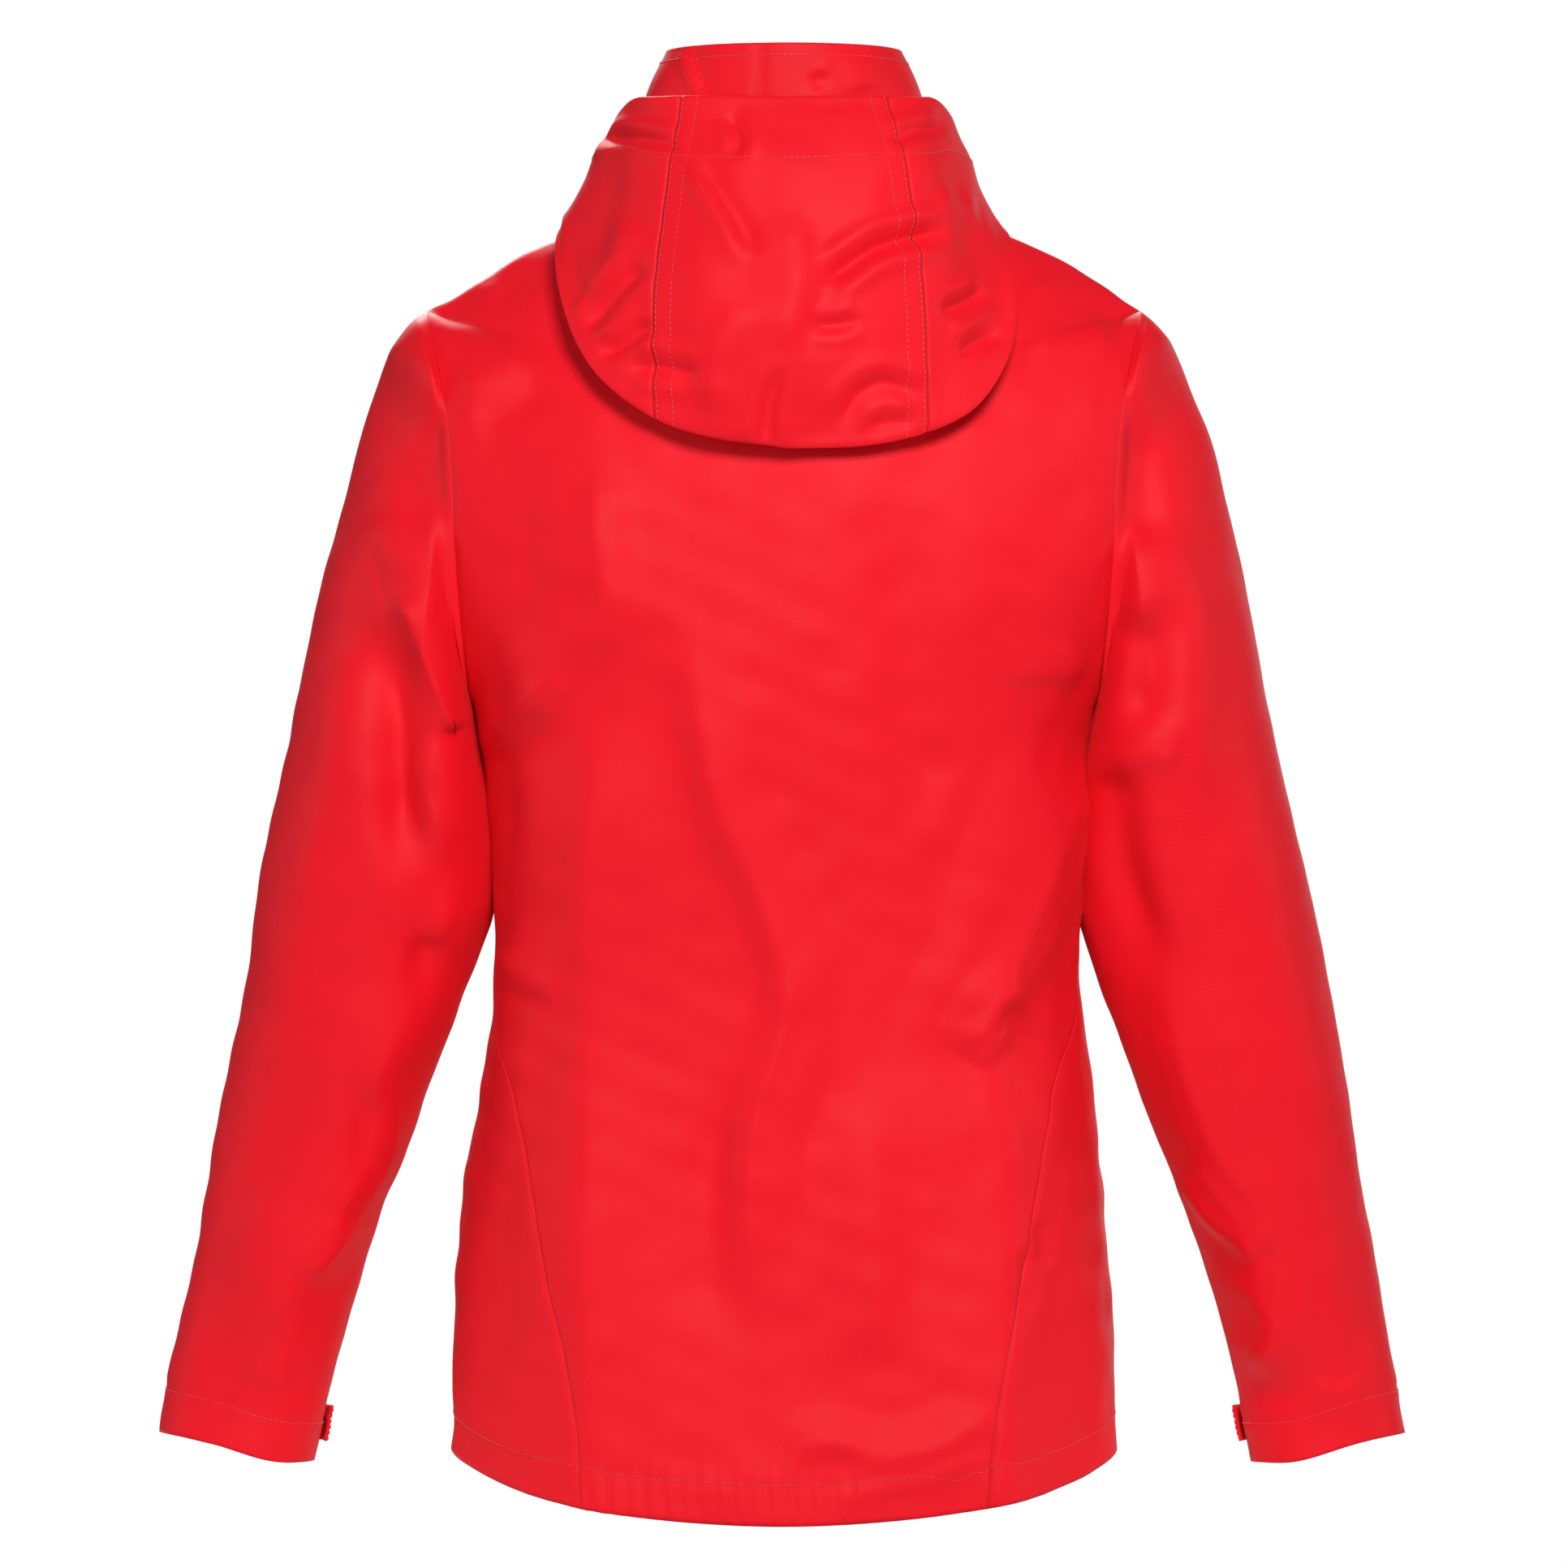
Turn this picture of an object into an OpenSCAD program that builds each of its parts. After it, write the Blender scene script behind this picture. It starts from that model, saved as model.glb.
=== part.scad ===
// Hooded hardshell jacket, standing in its worn shape with the hood hanging down the back.
// The origin is the hanger loop at the centre of the back neck seam. The wearer's left is +X,
// the front of the jacket faces -Y and +Z is up. Everything is in millimetres.

/* [Body] */
// Half width of the jacket at the hem
hem_half = 179; // [172:1:190]
// Half width of the jacket at the waist
waist_half = 156; // [150:1:165]
// Height of the centre back hem below the neck seam
back_drop = 715; // [700:1:730]
// Height of the side and front hem below the neck seam
side_drop = 674; // [660:1:690]
// Height of the underarm below the neck seam
underarm_drop = 286; // [280:1:292]
// Thickness of the shell fabric
shell_t = 1.6; // [1.2:0.1:2]

/* [Collar] */
// Height of the collar's back edge above the neck seam
collar_back_h = 75; // [65:1:80]
// Height of the collar's front edge above the neck seam
collar_front_h = 45; // [35:1:50]
// Half width of the collar at its base
neck_half = 78; // [74:1:82]

/* [Sleeves] */
// Half depth of the armhole, front to back
armhole_half_d = 70; // [64:1:72]
// Half depth of the cuff, front to back
cuff_half_d = 40; // [36:1:44]
// Width of the cuff tab along the sleeve
tab_w = 27; // [22:1:30]

/* [Closures] */
// Pitch of the front zip's teeth
tooth_pitch = 8; // [6:1:10]
// Diameter of the pivots that the zip pullers hang on
puller_pin_d = 1.6; // [1.4:0.1:1.8]
// Height of the hem that is turned up inside
hem_h = 19; // [15:1:24]

/* [Hidden] */
$fn = 32;

SHELL = [0.86, 0.10, 0.15];
INSIDE = [0.20, 0.21, 0.24];
TAPE = [0.10, 0.10, 0.11];
METAL = [0.70, 0.70, 0.72];

// ---------------------------------------------------------------- curves and sheets

function mix(a, b, t) = a + (b - a) * t;
function unit(v) = v / norm(v);
function flat(grid) = [for (row = grid) each row];

// Smooth curve through a short list of points, t from 0 to 1 along the list
function spline(p, t) =
    let (n = len(p) - 1, i = min(floor(t * n), n - 1), u = t * n - i,
         a = p[max(i - 1, 0)], b = p[i], c = p[i + 1], d = p[min(i + 2, n)])
    b + u / 2 * ((c - a) + u * ((2 * a - 5 * b + 4 * c - d) + u * (3 * (b - c) + d - a)));

// Closed sheet between two grids of points of the same size; ring closes the rows
module sheet(outer, inner, ring = false) {
    rows = len(outer);
    cols = len(outer[0]);
    count = rows * cols;
    last = ring ? cols - 1 : cols - 2;
    function at(side, r, c) = side * count + r * cols + c % cols;
    function quad(a, b, c, d) = [[a, b, c], [a, c, d]];
    faces = [
        for (r = [0 : rows - 2], c = [0 : last]) each concat(
            quad(at(0, r, c), at(0, r, c + 1), at(0, r + 1, c + 1), at(0, r + 1, c)),
            quad(at(1, r, c), at(1, r + 1, c), at(1, r + 1, c + 1), at(1, r, c + 1))),
        for (c = [0 : last]) each concat(
            quad(at(0, 0, c), at(1, 0, c), at(1, 0, c + 1), at(0, 0, c + 1)),
            quad(at(0, rows - 1, c), at(0, rows - 1, c + 1),
                 at(1, rows - 1, c + 1), at(1, rows - 1, c))),
        if (!ring) for (r = [0 : rows - 2]) each concat(
            quad(at(0, r, 0), at(0, r + 1, 0), at(1, r + 1, 0), at(1, r, 0)),
            quad(at(0, r, cols - 1), at(1, r, cols - 1),
                 at(1, r + 1, cols - 1), at(0, r + 1, cols - 1)))];
    polyhedron(concat(flat(outer), flat(inner)), faces, convexity = 8);
}

// Right hand copy of a left hand piece
module mirrored(right) {
    if (right) mirror([1, 0, 0]) children();
    else children();
}

// ---------------------------------------------------------------- torso

axis_y = -65;
armhole_mid_z = -176;
armhole_half_h = 110;
shoulder_z = armhole_mid_z + armhole_half_h;
neck_side = [neck_half, -62, -9];
neck_front_z = -62;
zip_half_gap = 5;
seam_angle = 6;

HALF_WIDTH = [[-side_drop, hem_half], [-604, 176], [-535, 170], [-480, 163],
              [-426, waist_half], [-380, waist_half + 3], [-underarm_drop, 168]];
BACK_Y = [[-back_drop, 58], [-560, 48], [-426, 42], [-340, 47], [-250, 52], [-150, 45],
          [-60, 22], [0, 0]];
BACK_SEAM = [[-back_drop, 50], [-604, 46], [-543, 41], [-478, 25], [-400, 6]];
FRONT_SEAM = [[-side_drop, 28], [-480, 18], [-380, 6]];
ARMHOLE_X = [[-288, 167], [-205, 175], [-150, 178], [-110, 182], [-85, 187], [-64, 192]];

// The front edge is straight, so that the slider runs in a line
front_slope = 55 / 735;
function front_y(z) = -205 + (z + 675) * front_slope;
function back_y(z) = lookup(z, BACK_Y);

// Distance inward from the shell towards the middle of the body
function inward(p, t) = p + t * unit([0.6 * p[0], axis_y, min(p[2], -150)] - p);

// Armhole edge: phi is 0 at the shoulder and 180 under the arm, side +1 for the back
function armhole(phi, side) =
    let (z = armhole_mid_z + armhole_half_h * cos(phi))
    [lookup(z, ARMHOLE_X), axis_y + side * armhole_half_d * sin(phi), z];

// Ring of the lower body at height share t; a is 0 at the side and 90 at the centre
function lower(t, a, side) =
    let (zs = mix(-side_drop, -underarm_drop, t),
         zc = side > 0 ? mix(-back_drop, -270, t) : mix(-side_drop - 1, -270, t),
         yc = side > 0 ? back_y(zc) : front_y(zc),
         k = sin(a))
    [lookup(zs, HALF_WIDTH) * cos(a), mix(axis_y, yc, k), mix(zs, zc, k)];

function back_seam(t) = lookup(mix(-side_drop, -underarm_drop, t), BACK_SEAM);
function front_seam(t) = lookup(mix(-side_drop, -underarm_drop, t), FRONT_SEAM);

// Edge of the upper body: up the armhole, then along the shoulder to the neck
armhole_share = 0.64;
function upper_edge(v, side) =
    v < armhole_share
        ? armhole(mix(170, 0, v / armhole_share), side)
        : mix(armhole(0, side), neck_side, (v - armhole_share) / (1 - armhole_share));

function upper(v, a, side) =
    let (e = v == 0 ? lower(1, seam_angle, side) : upper_edge(v, side),
         start = seam_angle * max(0, 1 - v / armhole_share),
         zc = side > 0 ? mix(-270, 0, v) : mix(-270, neck_front_z, v),
         yc = side > 0 ? back_y(zc) : front_y(zc),
         k = (sin(a) - sin(start)) / (1 - sin(start)))
    [e[0] * cos(a) / cos(start), mix(e[1], yc, k), mix(e[2], zc, k)];
function upper_start(v) = seam_angle * max(0, 1 - v / armhole_share);

lower_steps = 14;
upper_steps = 14;
body_steps = lower_steps + upper_steps;

// Row r of the back, from the left seam over the centre to the right seam
function back_row(r, cols) =
    let (low = r <= lower_steps, t = low ? r / lower_steps : (r - lower_steps) / upper_steps,
         start = low ? back_seam(t) : upper_start(t))
    [for (c = [0 : cols])
        let (a = mix(start, 180 - start, c / cols), b = min(a, 180 - a),
             p = low ? lower(t, b, 1) : upper(t, b, 1))
        a > 90 ? [-p[0], p[1], p[2]] : p];

// Row r of the left front, from the side seam to the centre opening
function front_row(r, cols, gap) =
    let (low = r <= lower_steps, t = low ? r / lower_steps : (r - lower_steps) / upper_steps,
         start = low ? front_seam(t) : upper_start(t),
         edge = low ? lower(t, start, -1) : upper(t, start, -1),
         end = acos(gap * cos(start) / edge[0]))
    [for (c = [0 : cols])
        let (a = mix(start, end, c / cols)) low ? lower(t, a, -1) : upper(t, a, -1)];

// Row r of the left side panel, from the front seam round the side to the back seam
function side_row(r, cols) =
    let (t = r / lower_steps, f = front_seam(t), b = back_seam(t))
    [for (c = [0 : cols])
        let (a = mix(-f, b, c / cols)) lower(t, abs(a), a < 0 ? -1 : 1)];

function inset(grid, t) = [for (row = grid) [for (p = row) inward(p, t)]];

module body_sheet(grid, near, far) {
    sheet(inset(grid, far), inset(grid, near));
}

module back_panel() {
    color(SHELL) body_sheet([for (r = [0 : body_steps]) back_row(r, 24)], 0, shell_t);
}

module side_panel(right) {
    color(SHELL) mirrored(right)
        body_sheet([for (r = [0 : lower_steps]) side_row(r, 8)], 0, shell_t);
}

module front_panel(right) {
    color(SHELL) mirrored(right)
        body_sheet([for (r = [0 : body_steps])
            let (row = front_row(r, 12, zip_half_gap)) [for (i = [12 : -1 : 0]) row[i]]],
            0, shell_t);
}

// Inner lining: one sheet for the back, one for each front
lining_near = 9;
lining_far = 10;
module body_lining() {
    rows = [2 : 2 : lower_steps + 6];
    color(INSIDE) {
        body_sheet([for (r = rows) back_row(r, 14)], lining_near, lining_far);
        for (right = [false, true]) mirrored(right) {
            body_sheet([for (r = [2 : 2 : lower_steps]) side_row(r, 4)],
                       lining_near, lining_far);
            body_sheet([for (r = rows)
                let (row = front_row(r, 8, 30)) [for (i = [8 : -1 : 0]) row[i]]],
                lining_near, lining_far);
        }
    }
}

// Hem turned up inside, round the whole body from one front edge to the other
module hem_facing() {
    share = hem_h / (side_drop - underarm_drop);
    function ring(t) = let (f = front_seam(t), b = back_seam(t)) concat(
        [for (c = [0 : 7]) lower(t, mix(acos(20 / hem_half), f, c / 8), -1)],
        [for (c = [0 : 5]) let (a = mix(-f, b, c / 6)) lower(t, abs(a), a < 0 ? -1 : 1)],
        [for (c = [0 : 8]) lower(t, mix(b, 90, c / 8), 1)]);
    function whole(t) = let (half = ring(t)) concat(half,
        [for (i = [len(half) - 2 : -1 : 0]) [-half[i][0], half[i][1], half[i][2]]]);
    grid = [whole(0.004), whole(share / 2), whole(share)];
    color(SHELL) sheet(inset(grid, shell_t + 1.8), inset(grid, shell_t + 0.8));
}

// ---------------------------------------------------------------- collar

collar_top_side = [64, -67, 68];
collar_lean = 5;

// Collar surface: h is 0 at the neck seam and 1 at the top, a as on the body
function collar(h, a, side) =
    let (e = mix(neck_side, collar_top_side, h),
         c = side > 0 ? [0, -collar_lean * h, collar_back_h * h]
                      : let (z = mix(neck_front_z, collar_front_h, h)) [0, front_y(z), z],
         k = sin(a))
    [e[0] * cos(a), mix(e[1], c[1], k), mix(e[2], c[2], k)];

// One row round the collar from the left front edge to the right front edge
function collar_row(h, gap, deep, cols = 18) =
    let (end = acos(gap / mix(neck_side, collar_top_side, h)[0]),
         half = [for (c = [0 : cols])
            let (a = mix(-end, 90, c / cols), p = collar(h, abs(a), a < 0 ? -1 : 1),
                 in = unit([0, -80, p[2]] - p))
            p + deep * in])
    concat(half, [for (i = [cols - 1 : -1 : 0]) [-half[i][0], half[i][1], half[i][2]]]);

module collar_sheet(from, to, gap, near, far) {
    function grid(deep) =
        [for (h = [0 : 4]) collar_row(mix(from, to, h / 4), gap, deep)];
    sheet(grid(far), grid(near));
}

module collar_outer() {
    color(SHELL) collar_sheet(0.01, 1, zip_half_gap, 0, shell_t);
}

module collar_lining() {
    color(INSIDE) collar_sheet(0.08, 0.97, 17, shell_t + 1.4, shell_t + 2.6);
}

// Soft guard that the slider parks under at the top of the collar
module chin_guard() {
    color(INSIDE) front_frame(collar_front_h - 26)
        translate([-9, zip_deep + 3.8, 0]) cube([18, 1.6, 22]);
}

// Hanger loop: a ribbon arch sewn inside the centre back neck seam
loop_r = 24;
loop_w = 5;
module hanger_loop() {
    color(TAPE) translate([0, -loop_w, -2]) rotate([90, 0, 0])
        linear_extrude(loop_w) difference() {
            circle(loop_r);
            circle(loop_r - 1.4);
            translate([-loop_r - 1, 0]) square([2 * loop_r + 2, loop_r + 1]);
        }
}

// ---------------------------------------------------------------- front zip

zip_angle = atan(front_slope);
zip_bottom_z = -side_drop + 6;
zip_top_z = collar_front_h - 8;
zip_length = (zip_top_z - zip_bottom_z) / cos(zip_angle);
slider_l = 17;
zip_deep = 4.6;
channel_half = 0.8;
tooth_w = 2.4;
tooth_t = 2.2;

// Frame on the front edge at height z: +Z runs up along the zip, +Y goes into the jacket
module front_frame(z) {
    translate([0, front_y(z), z]) rotate([-zip_angle, 0, 0]) children();
}

module front_tape(right) {
    color(TAPE) mirrored(right) front_frame(zip_bottom_z)
        translate([channel_half + tooth_w, zip_deep - 0.4, 0]) cube([8, 0.8, zip_length]);
}

module front_teeth(right) {
    count = floor((zip_length - 20) / tooth_pitch);
    color(TAPE) mirrored(right) front_frame(zip_bottom_z)
        for (i = [0 : count])
            translate([channel_half, zip_deep - tooth_t / 2,
                       8 + (i + (right ? 0.5 : 0)) * tooth_pitch])
                cube([tooth_w, tooth_t, tooth_pitch * 0.42]);
}

module zip_top_stops() {
    color(METAL) front_frame(zip_top_z)
        for (s = [-1, 1]) translate([s * (channel_half + tooth_w / 2), zip_deep, 1.6])
            cube([tooth_w, 2.6, 3], center = true);
}

module zip_bottom_box() {
    color(TAPE) front_frame(zip_bottom_z)
        translate([-4.5, zip_deep - 2, -4.4]) cube([9, 4, 4]);
}

module storm_flap() {
    color(SHELL) front_frame(zip_bottom_z)
        translate([-16, zip_deep + 4.6, 14]) cube([30, 1.4, zip_length - 60]);
}

// Slider: two plates joined by a thin post that runs in the gap between the teeth
puller_z = 5;
bridge_y = -3.2;
module slider_body() {
    plate_w = 9;
    for (side = [-1, 1])
        translate([-plate_w / 2, zip_deep + side * 2.3 - 0.55, 0]) cube([plate_w, 1.1, slider_l]);
    translate([-0.5, zip_deep - 2, slider_l - 7]) cube([1, 4, 6]);
    for (s = [-1, 1]) translate([s * 2.6 - 0.6, bridge_y - 1, puller_z - 1.4])
        cube([1.2, zip_deep - 1 - bridge_y, 2.8]);
    translate([0, bridge_y, puller_z]) rotate([0, 90, 0])
        cylinder(h = 6.4, d = puller_pin_d, center = true);
}

// Puller: a flat tag on an eye that turns round the slider's pin
module puller_body(length) {
    eye_w = 3.4;
    difference() {
        union() {
            translate([0, bridge_y, puller_z]) rotate([0, 90, 0])
                cylinder(h = eye_w, d = puller_pin_d + 2, center = true);
            translate([-eye_w / 2, bridge_y - 0.7, puller_z - 8]) cube([eye_w, 1.2, 7.2]);
            translate([-3.4, bridge_y - 1, puller_z - length]) cube([6.8, 1.8, length - 7]);
        }
        translate([0, bridge_y, puller_z]) rotate([0, 90, 0])
            cylinder(h = eye_w + 2, d = puller_pin_d + 0.1, center = true);
    }
}

slider_park = collar_front_h - 34;
module front_slider() {
    color(METAL) front_frame(slider_park) slider_body();
}

module front_puller() {
    color(TAPE) front_frame(slider_park) puller_body(30);
}

// ---------------------------------------------------------------- hand pockets

pocket_top = [97, -171.5, -478];
pocket_bottom = [126, -168, -640];
pocket_out = unit([0.55, -0.83, -0.03]);
pocket_down = unit(pocket_bottom - pocket_top);
pocket_side = unit(cross(pocket_down, pocket_out));
pocket_face = cross(pocket_side, pocket_down);
pocket_length = norm(pocket_bottom - pocket_top);

// Frame on the left pocket: +Z down along the zip, -Y out of the jacket
module pocket_frame(right) {
    s = pocket_side;
    n = -pocket_face;
    d = pocket_down;
    mirrored(right)
        multmatrix([[s[0], n[0], d[0], pocket_top[0]], [s[1], n[1], d[1], pocket_top[1]],
                    [s[2], n[2], d[2], pocket_top[2]], [0, 0, 0, 1]])
            children();
}

welt_w = 24;
coil_half = 1.9;
pocket_bridge = 1.7;
module pocket_welt(right) {
    color(SHELL) pocket_frame(right) difference() {
        translate([-welt_w / 2, 0.6, -12]) cube([welt_w, 1, pocket_length + 24]);
        translate([-5, -1, -2]) cube([10, 5, pocket_length + 4]);
    }
}

module pocket_zip(right) {
    color(TAPE) pocket_frame(right) {
        for (s = [-1, 1]) translate([s * 3 - 1.9, 0.7, -1.5])
            cube([3.8, 0.8, pocket_length + 3]);
        for (s = [-1, 1]) translate([s * 1.5 - 0.7, -0.6, 0])
            cube([1.4, 1.3, pocket_length]);
    }
}

module pocket_bag(right) {
    function bag_row(r, cols) = let (row = front_row(r, cols, 40))
        [for (i = [cols - 1 : -1 : 1]) row[i]];
    color(INSIDE) mirrored(right)
        body_sheet([for (r = [1.5 : 1.4 : 8.5]) bag_row(r, 8)], 3, 4.6);
}

module pocket_slider(right) {
    color(METAL) pocket_frame(right) translate([0, 0, 1]) {
        difference() {
            translate([-3.6, -2.6, 0]) cube([7.2, 2.9, 11]);
            translate([-coil_half - 0.6, -1, -1]) cube([2 * coil_half + 1.2, 4, 13]);
        }
        for (s = [-1, 1]) translate([s * 2.6 - 0.6, bridge_y - pocket_bridge - 1, puller_z - 1.4])
            cube([1.2, 3.4, 2.8]);
        translate([0, bridge_y - pocket_bridge, puller_z]) rotate([0, 90, 0])
            cylinder(h = 6.4, d = puller_pin_d, center = true);
    }
}

module pocket_puller(right) {
    color(TAPE) pocket_frame(right) translate([0, -pocket_bridge, 1])
        translate([0, 0, 2 * puller_z]) mirror([0, 0, 1]) puller_body(26);
}

// ---------------------------------------------------------------- hood

// The hood hangs as an open bag: brim at the top, fold at the bottom, nape inside.
// Points run from the centre back round to the end at the front of the neck.
BRIM = [[0, 22, 46], [38, 20, 47], [72, 5, 47], [89, -24, 42], [98, -62, 18],
        [88, -100, -4], [72, -124, -22]];
FOLD = [[0, 60, -141], [44, 56, -138], [90, 40, -113], [117, 16, -80], [126, -28, -26],
        [112, -84, -20], [92, -126, -40]];
NAPE = [[0, 47, -28], [36, 46, -28], [72, 30, -24], [91, -14, -12], [95, -58, -2],
        [84, -98, -20], [70, -122, -38]];
hood_bulge = 25;
outer_rows = 6;
nape_rows = 7;
seam_share = 0.31;

// Column of the hood at share s from the centre back (0) to the front end (1)
function hood_column(s) =
    let (b = spline(BRIM, s), f = spline(FOLD, s), n = spline(NAPE, s),
         out = unit([b[0] + f[0], b[1] + f[1] + 130, 0]),
         deep = mix(hood_bulge, 2, pow(s, 0.7)))
    concat(
        [for (r = [0 : outer_rows]) let (t = r / outer_rows)
            mix(b, f, t) + deep * sin(180 * pow(t, 1.15)) * out],
        [for (r = [1 : nape_rows]) let (t = r / nape_rows)
            mix(f, n, t) - 4 * sin(180 * t) * out]);

// Grid of the whole hood, right front end to left front end
centre_cols = 5;
side_cols = 9;
hood_shares = concat([for (i = [side_cols : -1 : 1]) -mix(seam_share, 1, i / side_cols)],
    [for (i = [-centre_cols : centre_cols]) seam_share * i / centre_cols],
    [for (i = [1 : side_cols]) mix(seam_share, 1, i / side_cols)]);
HOOD = [for (s = hood_shares)
    [for (p = hood_column(abs(s))) s < 0 ? [-p[0], p[1], p[2]] : p]];
hood_cols = len(HOOD) - 1;
hood_rows = len(HOOD[0]) - 1;
HOOD_IN = [for (c = [0 : hood_cols]) [for (r = [0 : hood_rows])
    unit(cross(HOOD[min(c + 1, hood_cols)][r] - HOOD[max(c - 1, 0)][r],
               HOOD[c][min(r + 1, hood_rows)] - HOOD[c][max(r - 1, 0)]))]];

function hood_grid(c0, c1, r0, r1, deep) =
    [for (c = [c0 : c1]) [for (r = [r0 : r1]) HOOD[c][r] - deep * HOOD_IN[c][r]]];

module hood_sheet(c0, c1, r0, r1, near, far) {
    sheet(hood_grid(c0, c1, r0, r1, near), hood_grid(c0, c1, r0, r1, far));
}

module hood_centre_panel() {
    color(SHELL) hood_sheet(side_cols, hood_cols - side_cols, 0, outer_rows, 0, shell_t);
}

module hood_side_panel(right) {
    from = right ? 0 : hood_cols - side_cols;
    color(SHELL) hood_sheet(from, from + side_cols, 0, outer_rows, 0, shell_t);
}

module hood_nape_panel() {
    color(SHELL) hood_sheet(0, hood_cols, outer_rows, hood_rows, 0, shell_t);
}

// Brim hem, turned to the inside of the hood
module hood_brim_facing() {
    color(SHELL) hood_sheet(2, hood_cols - 2, 0, 1, shell_t + 0.3, shell_t + 1.3);
}

// ---------------------------------------------------------------- sleeves

// Outer and inner edge of the left sleeve as seen from behind, then centre y, half depth
SLEEVE = [[[221, -117], [168, -318], -60, 76], [[236, -170], [164, -372], -62, 74],
          [[247, -218], [168, -404], -64, 71], [[259, -274], [178, -440], -68, 67],
          [[272, -343], [191, -480], -73, 62], [[285, -413], [204, -523], -80, 57],
          [[298, -483], [217, -562], -86, 52], [[311, -552], [230, -602], -91, 47],
          [[322, -618], [240, -637], -94, 43], [[331, -668], [249, -682], -95, cuff_half_d]];
sleeve_sides = 28;
joint_gap = 2.5;

function sleeve_ring(k, deep) =
    let (s = SLEEVE[k], o = s[0], i = s[1])
    [for (j = [0 : sleeve_sides - 1])
        let (phi = 360 * j / sleeve_sides,
             m = [(o[0] + i[0]) / 2, s[2], (o[1] + i[1]) / 2],
             h = [(o[0] - i[0]) / 2, 0, (o[1] - i[1]) / 2],
             k = 1 - deep / s[3], w = 1 - deep / norm(h))
        m + h * w * cos(phi) + [0, s[3] * k * sin(phi), 0]];

// The head follows the armhole and stands just clear of it
function head_ring(deep) =
    [for (j = [0 : sleeve_sides - 1])
        let (phi = 360 * j / sleeve_sides, p = armhole(phi, 1),
             m = [p[0], axis_y, armhole_mid_z])
        p + [joint_gap, 0, 0] + deep * unit(m - p)];

module sleeve_tube(near, far, from, ring_head = true) {
    function rings(deep) = concat(ring_head ? [head_ring(deep)] : [],
        [for (k = [from : len(SLEEVE) - 1]) sleeve_ring(k, deep)]);
    sheet(rings(near), rings(far), ring = true);
}

module sleeve(right) {
    color(SHELL) mirrored(right) sleeve_tube(0, shell_t, 0);
}

module cuff_facing(right) {
    color(SHELL) mirrored(right)
        sleeve_tube(shell_t + 0.8, shell_t + 1.8, len(SLEEVE) - 2, ring_head = false);
}

// Ring of the cuff at share t between the last two rings, phi 180 at the inner edge
function cuff_point(t, phi, out) =
    let (n = len(SLEEVE) - 1, a = SLEEVE[n], b = SLEEVE[n - 1],
         o = mix(a[0], b[0], t), i = mix(a[1], b[1], t), y = mix(a[2], b[2], t),
         d = mix(a[3], b[3], t), m = [(o[0] + i[0]) / 2, y, (o[1] + i[1]) / 2],
         h = [(o[0] - i[0]) / 2, 0, (o[1] - i[1]) / 2])
    m + h * (1 + out / norm(h)) * cos(phi) + [0, (d + out) * sin(phi), 0];

module cuff_strip(from, to, low, high, near, far) {
    function grid(out) = [for (t = [low, (low + high) / 2, high])
        [for (c = [0 : 8]) cuff_point(t, mix(from, to, c / 8), out)]];
    sheet(grid(near), grid(far));
}

cuff_step = 46;
tab_low = 0.28;
tab_high = tab_low + tab_w / cuff_step;
module loop_patch(right) {
    color(TAPE) mirrored(right)
        cuff_strip(232, 282, tab_low + 0.08, tab_high - 0.08, 0.1, 1.1);
}

module hook_patch(right) {
    color(TAPE) mirrored(right)
        cuff_strip(236, 266, tab_low + 0.1, tab_high - 0.1, 1.4, 2.4);
}

module cuff_tab(right) {
    color(SHELL) mirrored(right) cuff_strip(182, 270, tab_low, tab_high, 2.9, 4.5);
}

// ---------------------------------------------------------------- the jacket

back_panel();
side_panel(false);  // side_panel_left
side_panel(true);  // side_panel_right
front_panel(false);  // front_panel_left
front_panel(true);  // front_panel_right
collar_outer();
collar_lining();
chin_guard();
hanger_loop();
body_lining();
hem_facing();
storm_flap();
front_tape(false);  // front_tape_left
front_tape(true);  // front_tape_right
front_teeth(false);  // front_teeth_left
front_teeth(true);  // front_teeth_right
zip_top_stops();
zip_bottom_box();
front_slider();
front_puller();
pocket_welt(false);  // pocket_welt_left
pocket_welt(true);  // pocket_welt_right
pocket_zip(false);  // pocket_zip_left
pocket_zip(true);  // pocket_zip_right
pocket_bag(false);  // pocket_bag_left
pocket_bag(true);  // pocket_bag_right
pocket_slider(false);  // pocket_slider_left
pocket_slider(true);  // pocket_slider_right
pocket_puller(false);  // pocket_puller_left
pocket_puller(true);  // pocket_puller_right
hood_centre_panel();
hood_side_panel(false);  // hood_left_panel
hood_side_panel(true);  // hood_right_panel
hood_nape_panel();
hood_brim_facing();
sleeve(false);  // sleeve_left
sleeve(true);  // sleeve_right
cuff_facing(false);  // cuff_facing_left
cuff_facing(true);  // cuff_facing_right
loop_patch(false);  // loop_patch_left
loop_patch(true);  // loop_patch_right
cuff_tab(false);  // cuff_tab_left
cuff_tab(true);  // cuff_tab_right
hook_patch(false);  // hook_patch_left
hook_patch(true);  // hook_patch_right
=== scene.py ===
import math

import bmesh
import bpy
import numpy as np
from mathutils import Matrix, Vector
from mathutils.bvhtree import BVHTree


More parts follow.
